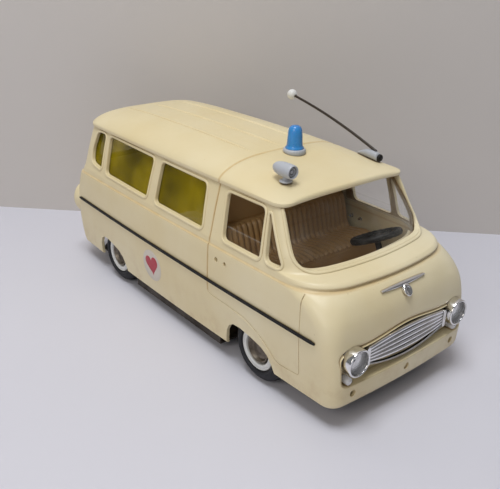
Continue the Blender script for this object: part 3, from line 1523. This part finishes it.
def make_beacon():
    """Rounded grey ring with a ribbed edge and a flared blue dome."""
    count = 96
    reach = BEACON_RING_RADIUS
    top = roof_z(0.0, BEACON_Y) + mm(1.9)
    rings = []
    for inset, rise in ((0.2, 0.0), (0, 0.12), (0, 0.5), (0.1, 0.72), (0.35, 0.88),
                        (0.75, 0.97), (1.2, 1.0), (4.25, 1.0)):
        ring, radius = [], reach - mm(inset)
        for k, (a, b) in enumerate(disc(1.0, count)):
            rib = mm(0.10) * (k % 4 < 2) * (0.1 < rise < 0.8)
            x, y = a * (radius - rib), BEACON_Y + b * (radius - rib)
            ring.append((x, y, blend(roof_z(x, y) + mm(0.05), top, rise)))
        rings.append(ring)
    settle(modelled("beacon_ring", loft(rings)), "grey_plastic", nodes=("beacon_base",))
    foot, (radius, tall) = top + mm(0.02), BEACON_DOME
    profile = [(0.0, 0.0), (1.0, 0.0), (1.0, 0.035), (0.965, 0.06), (0.90, 0.085), (0.86, 0.13),
               (0.835, 0.25), (0.805, 0.45), (0.775, 0.62), (0.74, 0.76), (0.675, 0.86),
               (0.57, 0.93), (0.42, 0.975), (0.22, 0.995), (0.0, 1.0)]
    dome = turned("beacon_glass", [(radius * s, foot + tall * r) for s, r in profile], 72)
    placed(dome, Matrix.Translation((0, BEACON_Y, 0)))
    settle(dome, "blue_plastic", nodes=("beacon_dome",))


def make_searchlight():
    """Bullet searchlight with a ringed face on a round foot."""
    x, y = SEARCHLIGHT
    base = roof_z(x, y)
    foot = max(roof_z(x + a, y + b) for a, b in disc(mm(2.8), 24)) + mm(0.05)
    axis_z = base + mm(5.5)
    (radius, length), middle = SEARCHLIGHT_LAMP, y + mm(1.6)
    profile = [(0.0, 0.5), (0.16, 0.495), (0.34, 0.47), (0.52, 0.43), (0.68, 0.37), (0.82, 0.28),
               (0.92, 0.17), (0.98, 0.04), (1.0, -0.1), (1.0, -0.3), (0.985, -0.40),
               (0.96, -0.46), (0.91, -0.49), (0.84, -0.5), (0.78, -0.485), (0.74, -0.43),
               (0.68, -0.36), (0.62, -0.36), (0.56, -0.43), (0.46, -0.43), (0.42, -0.37),
               (0.30, -0.36), (0.26, -0.41), (0.0, -0.42)]
    lamp = turned("searchlight_moulding", [(radius * r, length * p) for r, p in profile], 64, "Y")
    placed(lamp, Matrix.Translation((x, middle, axis_z)))
    column = [(mm(a), foot + mm(b)) for a, b in (
        (0, 0), (2.6, 0), (2.8, 0.15), (2.8, 0.45), (2.55, 0.7), (1.7, 0.95), (1.35, 1.4))]
    column += [(mm(1.4), axis_z - mm(1.0)), (0, axis_z - mm(1.0))]
    stem = turned("stem", column, 48)
    pin = turned("pin", [(0, base - mm(3.7)), (mm(1.05), base - mm(3.7)),
                         (mm(1.15), base - mm(3.4)), (mm(1.15), foot + mm(0.1)),
                         (0, foot + mm(0.1))], 32)
    for item in (stem, pin):
        placed(item, Matrix.Translation((x, y, 0)))
    settle(merged([lamp, stem, pin], "searchlight_moulding"), "grey_plastic", "searchlight",
           ("searchlight",))


def make_antenna():
    """Streamlined foot, black plug, swept rod and pale ball."""
    count = 40
    rings = []
    fairing = ((-5.0, 0.74), (-4.7, 0.88), (-4.2, 0.95), (-2.0, 1.0), (1.5, 0.92), (5.0, 0.58),
               (7.2, 0.30), (8.0, 0.10))
    for place in spread(-5.0, 8.0, 40):
        share, y = table_at(fairing, place), ANTENNA[1] + mm(place)
        ring = []
        for a, b in disc(1.0, count):
            x = ANTENNA[0] + a * share * mm(2.5)
            ring.append((x, y, roof_z(x, y) + mm(0.05) + share * mm(2.25) * (1 + b)))
        rings.append(ring)
    settle(modelled("antenna_fairing", loft(rings)), "grey_plastic", nodes=("antenna_foot",))
    plug_y = ANTENNA[1] - mm(5.05)
    low = roof_z(ANTENNA[0], plug_y) + GAP + mm(1.85)
    plug = [[(ANTENNA[0] + a, plug_y - mm(place), low + b) for a, b in disc(mm(radius), 36)]
            for place, radius in ((0.0, 1.7), (0.55, 1.7), (0.9, 1.6), (1.15, 1.35), (1.3, 1.0),
                                  (1.3, 0.2))]
    settle(modelled("antenna_cap", loft(plug)), "black_plastic", nodes=("antenna_plug",))
    base_z = roof_z(*ANTENNA)
    start = Vector((ANTENNA[0], ANTENNA[1] - mm(3.0), base_z + mm(4.2)))
    end = Vector((ANTENNA[0] + mm(1.0), ANTENNA[1] + mm(53.8), base_z + mm(19.6)))
    middle = (start + end) / 2 + Vector((0.0, 0.0, mm(2.8)))
    points = [bezier(start, middle, end, t) for t in spread(0.0, 1.0, 48)]
    rings = []
    for i, point in enumerate(points):
        before, after = points[max(i - 1, 0)], points[min(i + 1, 48)]
        turn = (after - before).to_track_quat("Z", "Y").to_matrix()
        thick = ANTENNA_ROD * blend(1.0, 0.86, i / 48)
        rings.append([tuple(point + turn @ Vector((a, b, 0))) for a, b in disc(thick, 16)])
    settle(modelled("antenna_wire", loft(rings)), "brown_rod", nodes=("antenna_rod",))
    along = (points[-1] - points[-2]).normalized()
    bpy.ops.object.select_all(action="DESELECT")
    bpy.ops.mesh.primitive_uv_sphere_add(segments=48, ring_count=24, radius=ANTENNA_BALL)
    ball = bpy.context.active_object
    ball.name = "antenna_tip"
    carve(ball, prism(disc(mm(0.75), 20), "Z", mm(-4), mm(-1.2)))
    placed(ball, Matrix.Translation(points[-1] + along * ANTENNA_BALL)
           @ along.to_track_quat("Z", "Y").to_matrix().to_4x4())
    settle(ball, "white_plastic", nodes=("antenna_ball",))


class ToyVanFittings(bpy.types.Operator):
    """Model the beacon, the searchlight and the antenna"""
    bl_idname = "toy_van.fittings"
    bl_label = "Roof fittings"

    def execute(self, context):
        make_beacon()
        make_searchlight()
        make_antenna()
        return {"FINISHED"}


# Materials

class Recipe:
    """Node tree of one material, with short calls for the nodes that it needs."""

    def __init__(self, name):
        self.material = bpy.data.materials.new(name)
        self.material.use_nodes = True
        self.tree = self.material.node_tree
        self.shader = self.tree.nodes["Principled BSDF"]
        self.object_place = None

    def add(self, kind, inputs=None, **settings):
        """Node of a kind with its settings and input values."""
        node = self.tree.nodes.new(kind)
        for key, value in settings.items():
            setattr(node, key, value)
        for key, value in (inputs or {}).items():
            self.feed(node.inputs[key], value)
        return node

    def feed(self, socket, value):
        """Link an output to a socket, or write a plain value on it."""
        if isinstance(value, bpy.types.NodeSocket):
            self.tree.links.new(value, socket)
        elif isinstance(value, (tuple, list)) and socket.type == "RGBA":
            socket.default_value = (*value[:3], 1.0)
        else:
            socket.default_value = value

    def set(self, **values):
        """Shader inputs by name, with _ for a space."""
        for key, value in values.items():
            self.feed(self.shader.inputs[key.replace("_", " ")], value)

    def place(self):
        """Object coordinates."""
        if self.object_place is None:
            self.object_place = self.add("ShaderNodeTexCoord").outputs["Object"]
        return self.object_place

    def height(self):
        """Height over the ground."""
        return self.add("ShaderNodeSeparateXYZ", {"Vector": self.place()}).outputs["Z"]

    def along(self):
        """Place along the van."""
        return self.add("ShaderNodeSeparateXYZ", {"Vector": self.place()}).outputs["Y"]

    def noise(self, scale, detail=3.0, roughness=0.5, stretch=None):
        """Noise over the object, its scale in waves per metre."""
        source = self.place()
        if stretch:
            source = self.add("ShaderNodeMapping", {"Vector": source, "Scale": stretch})
            source = source.outputs["Vector"]
        return self.add("ShaderNodeTexNoise", {"Vector": source, "Scale": scale, "Detail": detail,
                                               "Roughness": roughness}).outputs["Fac"]

    def cells(self, scale):
        """Distance to the nearest of many scattered points."""
        return self.add("ShaderNodeTexVoronoi", {"Vector": self.place(), "Scale": scale}
                        ).outputs["Distance"]

    def spread(self, value, low, high, out_low=0.0, out_high=1.0):
        """Value stretched from one range to another and held inside it."""
        return self.add("ShaderNodeMapRange", {
            "Value": value, "From Min": low, "From Max": high, "To Min": out_low,
            "To Max": out_high}).outputs["Result"]

    def math(self, operation, first, second=0.0):
        """Sum of two values, or another operation on them."""
        node = self.add("ShaderNodeMath", operation=operation)
        self.feed(node.inputs[0], first)
        self.feed(node.inputs[1], second)
        return node.outputs[0]

    def times(self, first, second):
        """Product of two values."""
        return self.math("MULTIPLY", first, second)

    def mix(self, share, first, second):
        """Colour between two colours."""
        node = self.add("ShaderNodeMix", data_type="RGBA")
        self.feed(node.inputs[0], share)
        self.feed(node.inputs[6], first)
        self.feed(node.inputs[7], second)
        return node.outputs[2]

    def bump(self, height, distance, before=None):
        """Normal from a height in metres."""
        node = self.add("ShaderNodeBump", {"Height": height, "Distance": distance})
        if before:
            self.feed(node.inputs["Normal"], before)
        return node.outputs["Normal"]

    def corners(self, reach):
        """0 in open places and 1 in corners and seams."""
        open_share = self.add("ShaderNodeAmbientOcclusion", {"Distance": reach},
                              samples=12).outputs["AO"]
        return self.math("SUBTRACT", 1.0, open_share)

    def scratches(self, scale, stretch):
        """Fine lines that run one way."""
        return self.spread(self.noise(scale, 2.0, 0.6, stretch), 0.62, 0.70)


def scaled(colour, share):
    """Colour made lighter or darker."""
    return tuple(min(c * share, 1.0) for c in colour)


def tinted(colour, shares):
    """Colour with each of its parts scaled."""
    return tuple(c * s for c, s in zip(colour, shares))


def moulded(name, colour, rough=0.36, dirt=(0.10, 0.07, 0.04), grime=0.7, bumps=1.0,
            gloss=0.5):
    """Injection moulded plastic with dirt in its corners, faint ripples and fine scratches."""
    made = Recipe(name)
    tone = made.spread(made.noise(38.0, 4.0, 0.55), 0.32, 0.68)
    base = made.mix(tone, scaled(colour, 0.90), scaled(colour, 1.05))
    seam = made.spread(made.corners(mm(1.6)), 0.30, 0.85)
    patch = made.spread(made.noise(150.0, 4.0, 0.6), 0.30, 0.62, 0.35, 1.0)
    share = made.times(made.times(seam, patch), grime)
    specks = made.spread(made.cells(900.0), 0.05, 0.10, 0.35, 0.0)
    dusty = made.mix(made.times(specks, patch), base, scaled(colour, 0.55))
    lines = made.scratches(420.0, (1.0, 0.12, 1.0))
    roughness = made.spread(made.noise(240.0, 5.0, 0.6), 0.3, 0.7, rough * 0.82, rough * 1.25)
    skin = made.bump(made.noise(700.0, 3.0), mm(0.03 * bumps))
    skin = made.bump(lines, mm(-0.012 * bumps), skin)
    made.set(Base_Color=made.mix(share, dusty, dirt), Normal=skin, Specular_IOR_Level=gloss,
             Roughness=made.math("ADD", roughness, made.times(share, 0.3)))
    return made


def cream(name, amber=0.0):
    """Aged cream body plastic: flow lines, sink marks, amber seams and handling marks."""
    colour, dirt = tuple(colours().body), tuple(colours().dirt)
    made = Recipe(name)
    cloud = made.spread(made.noise(14.0, 4.0, 0.55), 0.30, 0.70)
    flow = made.spread(made.noise(34.0, 3.0, 0.5, (1.0, 0.22, 1.6)), 0.30, 0.72)
    warm = tinted(colour, (0.93, 0.85, 0.68))
    base = made.mix(cloud, warm, scaled(colour, 1.03))
    base = made.mix(made.times(flow, 0.35), base, scaled(warm, 0.97))
    rear = made.spread(made.along(), mm(-60), mm(105), 0.0, 0.30)
    base = made.mix(rear, base, tinted(colour, (0.90, 0.80, 0.58)))
    foot = made.spread(made.height(), mm(30), mm(9), 0.0, 0.35)
    smudge = made.spread(made.noise(90.0, 5.0, 0.65), 0.48, 0.72)
    base = made.mix(made.times(foot, smudge), base, scaled(dirt, 1.6))
    fine = made.spread(made.corners(mm(1.3)), 0.20, 0.66)
    broad = made.spread(made.corners(mm(5.0)), 0.45, 0.95, 0.0, 0.5)
    patch = made.spread(made.noise(120.0, 4.0, 0.6), 0.28, 0.60, 0.45, 1.0)
    seam = made.times(made.math("MAXIMUM", fine, broad), patch)
    belt = made.math("ABSOLUTE", made.math("SUBTRACT", made.height(), BELT_Z))
    cross = made.math("ABSOLUTE", made.math("SUBTRACT", made.along(), ROOF_CROSS_LINE_Y))
    cross = made.times(made.spread(cross, mm(0.3), mm(0.9), 0.65, 0.0),
                       made.spread(made.height(), mm(32), mm(33)))
    line = made.spread(belt, mm(0.2), mm(0.8), 0.50, 0.0)
    line = made.times(made.math("MAXIMUM", line, cross), patch)
    base = made.mix(line, base, tinted(colour, (0.70, 0.50, 0.25)))
    specks = made.spread(made.cells(260.0), 0.03, 0.07, 0.45, 0.0)
    rare = made.spread(made.noise(60.0, 2.0), 0.50, 0.62)
    base = made.mix(made.times(specks, rare), base, scaled(dirt, 1.2))
    base = made.mix(made.times(seam, 0.85), base, dirt)
    if amber:
        base = made.mix(amber, base, (0.34, 0.165, 0.038))
    lines = made.scratches(300.0, (1.0, 0.10, 1.0))
    marks = made.math("MAXIMUM", lines, made.scratches(260.0, (1.0, 1.0, 0.08)))
    roughness = made.spread(made.noise(210.0, 5.0, 0.6), 0.3, 0.7, 0.30, 0.46)
    roughness = made.math("ADD", roughness, made.times(marks, 0.10))
    skin = made.bump(made.noise(620.0, 3.0), mm(0.030))
    skin = made.bump(made.noise(42.0, 2.0, 0.4, (1.0, 0.6, 1.0)), mm(0.45), skin)
    skin = made.bump(marks, mm(-0.010), skin)
    made.set(Base_Color=base, Normal=skin, IOR=1.49,
             Roughness=made.math("ADD", roughness, made.times(seam, 0.25)))
    return made


def clear(name, colour, low, high, smear, gloss=0.5, deep=0.86):
    """See-through moulding with smears, dust and a brighter rim at grazing angles."""
    made = Recipe(name)
    facing = made.add("ShaderNodeLayerWeight", {"Blend": 0.45}).outputs["Facing"]
    edge = made.spread(facing, 0.35, 1.0, low, high)
    haze = made.spread(made.noise(60.0, 5.0, 0.65), 0.50, 0.78, 0.0, smear)
    dust = made.spread(made.cells(700.0), 0.04, 0.10, smear * 0.8, 0.0)
    alpha = made.math("ADD", edge, made.math("MAXIMUM", haze, dust))
    tone = made.spread(made.noise(45.0, 3.0), 0.3, 0.7)
    shade = made.mix(tone, scaled(colour, deep), colour)
    skin = made.bump(made.noise(70.0, 2.0), mm(0.10))
    skin = made.bump(made.scratches(380.0, (1.0, 0.2, 1.0)), mm(-0.01), skin)
    made.set(Base_Color=shade, Alpha=made.math("MINIMUM", alpha, 1.0), IOR=1.49, Normal=skin,
             Roughness=made.spread(made.noise(120.0, 5.0, 0.6), 0.35, 0.75, 0.06, 0.28),
             Specular_IOR_Level=gloss)
    return made


def rubber(name):
    """Dark rubber with pale dust in its grooves and on its shoulders."""
    made = Recipe(name)
    tone = made.spread(made.noise(130.0, 5.0, 0.6), 0.3, 0.7)
    base = made.mix(tone, (0.010, 0.010, 0.012), (0.024, 0.024, 0.028))
    dust = made.times(made.spread(made.noise(75.0, 6.0, 0.7), 0.50, 0.76, 0.0, 0.12),
                      made.spread(made.noise(900.0, 3.0, 0.6), 0.35, 0.65, 0.4, 1.0))
    seam = made.spread(made.corners(mm(1.0)), 0.35, 0.8, 0.0, 0.35)
    skin = made.bump(made.noise(1100.0, 4.0, 0.6), mm(0.05))
    made.set(Base_Color=made.mix(made.math("MAXIMUM", dust, seam), base, (0.13, 0.115, 0.095)),
             Roughness=made.spread(tone, 0.0, 1.0, 0.50, 0.72), Normal=skin,
             Specular_IOR_Level=0.30)
    return made


def plated(name):
    """Vacuum plated plastic: bright, cloudy in places, with dark dirt between ribs."""
    made = Recipe(name)
    cloud = made.spread(made.noise(160.0, 5.0, 0.65), 0.42, 0.72)
    seam = made.spread(made.corners(mm(1.2)), 0.42, 0.90, 0.0, 0.85)
    pits = made.spread(made.cells(1300.0), 0.06, 0.13, 0.7, 0.0)
    base = made.mix(cloud, (0.90, 0.90, 0.91), (0.68, 0.66, 0.62))
    base = made.mix(made.times(pits, cloud), base, (0.20, 0.17, 0.13))
    skin = made.bump(made.noise(380.0, 3.0), mm(0.03))
    made.set(Base_Color=made.mix(seam, base, (0.055, 0.042, 0.028)), Normal=skin,
             Metallic=made.spread(seam, 0.0, 0.8, 1.0, 0.25),
             Roughness=made.math("ADD", made.spread(cloud, 0.0, 1.0, 0.07, 0.26),
                                 made.times(seam, 0.35)))
    return made


def metal(name, bright, aged, rough, stretch):
    """Aged sheet or bar metal with brush lines and brown patches."""
    made = Recipe(name)
    patch = made.spread(made.noise(110.0, 6.0, 0.68), 0.42, 0.66)
    seam = made.spread(made.corners(mm(1.4)), 0.35, 0.85, 0.0, 0.8)
    brush = made.noise(900.0, 2.0, 0.6, stretch)
    shade = made.mix(made.spread(brush, 0.3, 0.7), scaled(bright, 0.85), scaled(bright, 1.1))
    share = made.math("MAXIMUM", made.times(patch, 0.75), seam)
    skin = made.bump(brush, mm(0.02))
    skin = made.bump(made.noise(260.0, 5.0, 0.6), mm(0.05), skin)
    made.set(Base_Color=made.mix(share, shade, aged), Normal=skin,
             Metallic=made.spread(share, 0.0, 1.0, 1.0, 0.45),
             Roughness=made.math("ADD", made.spread(patch, 0.0, 1.0, rough, rough + 0.25), 0.02))
    return made


def translucent(name, colour, deep):
    """Glossy tinted plastic, lighter where it is thin."""
    made = Recipe(name)
    facing = made.add("ShaderNodeLayerWeight", {"Blend": 0.35}).outputs["Facing"]
    tone = made.spread(made.noise(170.0, 4.0, 0.55), 0.3, 0.7)
    base = made.mix(made.spread(facing, 0.1, 0.95), colour, deep)
    base = made.mix(made.times(tone, 0.25), base, scaled(colour, 1.35))
    seam = made.spread(made.corners(mm(1.2)), 0.35, 0.85, 0.0, 0.7)
    skin = made.bump(made.noise(520.0, 4.0, 0.6), mm(0.05))
    made.set(Base_Color=made.mix(seam, base, scaled(deep, 0.4)), Normal=skin,
             Coat_Weight=0.35, Coat_Roughness=0.12, Subsurface_Weight=0.12,
             Subsurface_Scale=mm(2.0),
             Roughness=made.spread(made.noise(260.0, 5.0, 0.6), 0.3, 0.7, 0.22, 0.42))
    return made


FINISHES = {
    "cream_plastic": ("cream_plastic", cream),
    "brown_cab": ("cream_plastic", lambda n: cream(n, 0.78)),
    "grey_plastic": ("grey_plastic", lambda n: moulded(n, tuple(colours().grey), 0.42)),
    "black_plastic": ("black_plastic", lambda n: moulded(
        n, (0.010, 0.009, 0.009), 0.50, (0.055, 0.040, 0.024), 0.5, 1.0, 0.25)),
    "brown_rod": ("black_plastic", lambda n: moulded(
        n, (0.030, 0.019, 0.012), 0.40, (0.05, 0.03, 0.02), 0.5, 2.0)),
    "white_plastic": ("white_plastic", lambda n: moulded(
        n, (0.72, 0.72, 0.70), 0.40, (0.16, 0.11, 0.06), 0.8)),
    "blue_plastic": ("blue_plastic", lambda n: translucent(
        n, tuple(colours().beacon), (0.010, 0.075, 0.26))),
    "red_plastic": ("red_plastic", lambda n: translucent(n, (0.50, 0.018, 0.014),
                                                         (0.16, 0.004, 0.004))),
    "clear_plastic": ("clear_plastic", lambda n: clear(n, tuple(colours().clear), 0.008, 0.34,
                                                       0.045)),
    "lamp_glass": ("clear_plastic", lambda n: clear(n, (0.90, 0.92, 0.94), 0.05, 0.50, 0.06, 0.8)),
    "jewel": ("clear_plastic", lambda n: clear(n, (0.92, 0.92, 0.93), 0.72, 0.96, 0.10, 1.0)),
    "yellow_plastic": ("yellow_plastic", lambda n: clear(n, tuple(colours().yellow), 0.42, 0.86,
                                                         0.10, 0.15, 0.30)),
    "tyre_rubber": ("tyre_rubber", rubber),
    "plated_plastic": ("plated_plastic", plated),
    "tin_sheet": ("tin_sheet", lambda n: metal(n, (0.25, 0.215, 0.175), (0.065, 0.048, 0.034),
                                               0.36, (1.0, 0.15, 1.0))),
    "dark_sheet": ("tin_sheet", lambda n: metal(n, (0.085, 0.072, 0.060),
                                                (0.030, 0.022, 0.016), 0.45, (1.0, 0.15, 1.0))),
    "steel": ("steel", lambda n: metal(n, (0.50, 0.50, 0.50), (0.14, 0.10, 0.07), 0.28,
                                       (0.12, 1.0, 1.0))),
    "roundel_print": ("white_plastic", lambda n: moulded(
        n, (0.66, 0.60, 0.52), 0.45, (0.30, 0.22, 0.12), 0.6)),
    "red_print": ("red_plastic", lambda n: moulded(
        n, (0.44, 0.030, 0.052), 0.42, (0.12, 0.02, 0.02), 0.6)),
}


def finish_of(name):
    """Material of a finish, made at its first use."""
    title = "toy_" + name
    known = bpy.data.materials.get(title)
    return known or FINISHES[name][1](title).material


class ToyVanPaint(bpy.types.Operator):
    """Give every shown piece of the frame its material"""
    bl_idname = "toy_van.paint"
    bl_label = "Frame materials"

    def execute(self, context):
        for row in frame["record"]["subparts"]:
            node = NODES[row["node"]]
            node.data.materials.clear()
            dark = row["node"] == "chassis_plate"
            node.data.materials.append(finish_of("dark_sheet" if dark
                                                 else row["material_slot"]))
        return {"FINISHED"}


# Stage

def make_camera():
    """Camera at the photograph's place."""
    bpy.ops.object.camera_add(location=CAMERA_PLACE)
    camera = bpy.context.active_object
    camera.name = "camera"
    camera.data.sensor_width = CAMERA_SENSOR
    camera.data.sensor_fit = "HORIZONTAL"
    camera.data.lens = CAMERA_LENS
    camera.data.clip_start = 0.01
    camera.data.clip_end = 20.0
    forward = Vector((-math.sin(CAMERA_AZIMUTH) * math.cos(CAMERA_ELEVATION),
                      math.cos(CAMERA_AZIMUTH) * math.cos(CAMERA_ELEVATION),
                      -math.sin(CAMERA_ELEVATION)))
    camera.rotation_mode = "QUATERNION"
    camera.rotation_quaternion = (forward.to_track_quat("-Z", "Y")
                                  @ Quaternion((0, 0, 1), CAMERA_ROLL))
    bpy.context.scene.camera = camera


def paper(name, colour, rough, one_sided=False):
    """Plain matt surface with a faint grain, open from behind where it is one-sided."""
    made = Recipe(name)
    tone = made.spread(made.noise(7.0, 3.0), 0.3, 0.7)
    grain = made.noise(700.0, 3.0)
    base = made.mix(tone, scaled(colour, 0.985), scaled(colour, 1.015))
    made.set(Base_Color=base, Normal=made.bump(grain, mm(0.03)),
             Roughness=made.spread(grain, 0.3, 0.7, rough * 0.95, rough * 1.05))
    if one_sided:
        behind = made.add("ShaderNodeNewGeometry").outputs["Backfacing"]
        made.set(Alpha=made.math("SUBTRACT", 1.0, behind))
    return made.material


def make_floor():
    """Pale floor with a grey wall close behind the van."""
    bpy.ops.mesh.primitive_plane_add(size=6.0, location=(0, 0, 0))
    floor = bpy.context.active_object
    floor.name = "floor"
    floor.data.materials.append(paper("floor_paper", (0.66, 0.655, 0.72), 0.6))
    bpy.ops.mesh.primitive_plane_add(size=6.0, location=WALL_PLACE,
                                     rotation=(math.radians(90), 0, WALL_TURN))
    wall = bpy.context.active_object
    wall.name = "wall"
    wall.data.materials.append(paper("wall_paint", (0.60, 0.565, 0.54), 0.8, one_sided=True))


def area_lamp(name, place, aim, size, power, colour=(1, 1, 1)):
    """Soft square lamp that looks at a point."""
    bpy.ops.object.light_add(type="AREA", location=place)
    lamp = bpy.context.active_object
    lamp.name = name
    lamp.data.shape = "SQUARE"
    lamp.data.size = size
    lamp.data.energy = power
    lamp.data.color = colour
    lamp.rotation_euler = (Vector(aim) - Vector(place)).to_track_quat("-Z", "Y").to_euler()


def make_lamps():
    """Soft studio light from above, with a faint fill."""
    area_lamp("key_lamp", (-0.22, -0.10, 1.0), (0, 0, 0), 0.40, 5.9, (0.96, 0.98, 1.0))
    area_lamp("side_fill", (-0.85, -0.35, 0.60), (0, 0, 0.03), 0.5, 2.7,
              (1.0, 0.95, 0.88))
    world = bpy.data.worlds.new("studio")
    bpy.context.scene.world = world
    world.use_nodes = True
    background = world.node_tree.nodes["Background"]
    background.inputs[0].default_value = (0.93, 0.96, 1.0, 1.0)
    background.inputs[1].default_value = 0.17


class ToyVanStage(bpy.types.Operator):
    """Make the floor, the backdrop, the lamps and the camera"""
    bl_idname = "toy_van.stage"
    bl_label = "Stage"

    def execute(self, context):
        make_camera()
        make_floor()
        make_lamps()
        return {"FINISHED"}


# Add-on

STEPS = (ToyVanStage, ToyVanPaint, ToyVanBody, ToyVanRoof, ToyVanGlazing, ToyVanCab,
         ToyVanWheels, ToyVanNose, ToyVanSides, ToyVanFittings)


class ToyVanPanel(bpy.types.Panel):
    """Steps and sizes of the toy van"""
    bl_idname = "VIEW3D_PT_toy_van"
    bl_label = "Toy Van"
    bl_space_type = "VIEW_3D"
    bl_region_type = "UI"
    bl_category = "Toy Van"

    def draw(self, context):
        for step in STEPS:
            self.layout.operator(step.bl_idname)
        for group in (context.scene.toy_van_sizes, context.scene.toy_van_colours):
            for name in group.__annotations__:
                self.layout.prop(group, name)


CLASSES = (ToyVanSizes, ToyVanColours) + STEPS + (ToyVanPanel,)


def register():
    for item in CLASSES:
        bpy.utils.register_class(item)
    bpy.types.Scene.toy_van_sizes = PointerProperty(type=ToyVanSizes)
    bpy.types.Scene.toy_van_colours = PointerProperty(type=ToyVanColours)


def unregister():
    del bpy.types.Scene.toy_van_colours
    del bpy.types.Scene.toy_van_sizes
    for item in reversed(CLASSES):
        bpy.utils.unregister_class(item)


def main():
    """Build the looks in order."""
    register()
    bpy.context.scene.view_settings.view_transform = "Standard"
    bpy.ops.object.select_all(action="DESELECT")
    bpy.ops.toy_van.stage()
    bpy.ops.toy_van.paint()
    bpy.ops.toy_van.body()
    bpy.ops.toy_van.roof()
    bpy.ops.toy_van.glazing()
    bpy.ops.toy_van.cab()
    bpy.ops.toy_van.wheels()
    bpy.ops.toy_van.nose()
    bpy.ops.toy_van.sides()
    bpy.ops.toy_van.fittings()


if __name__ == "__main__":
    main()
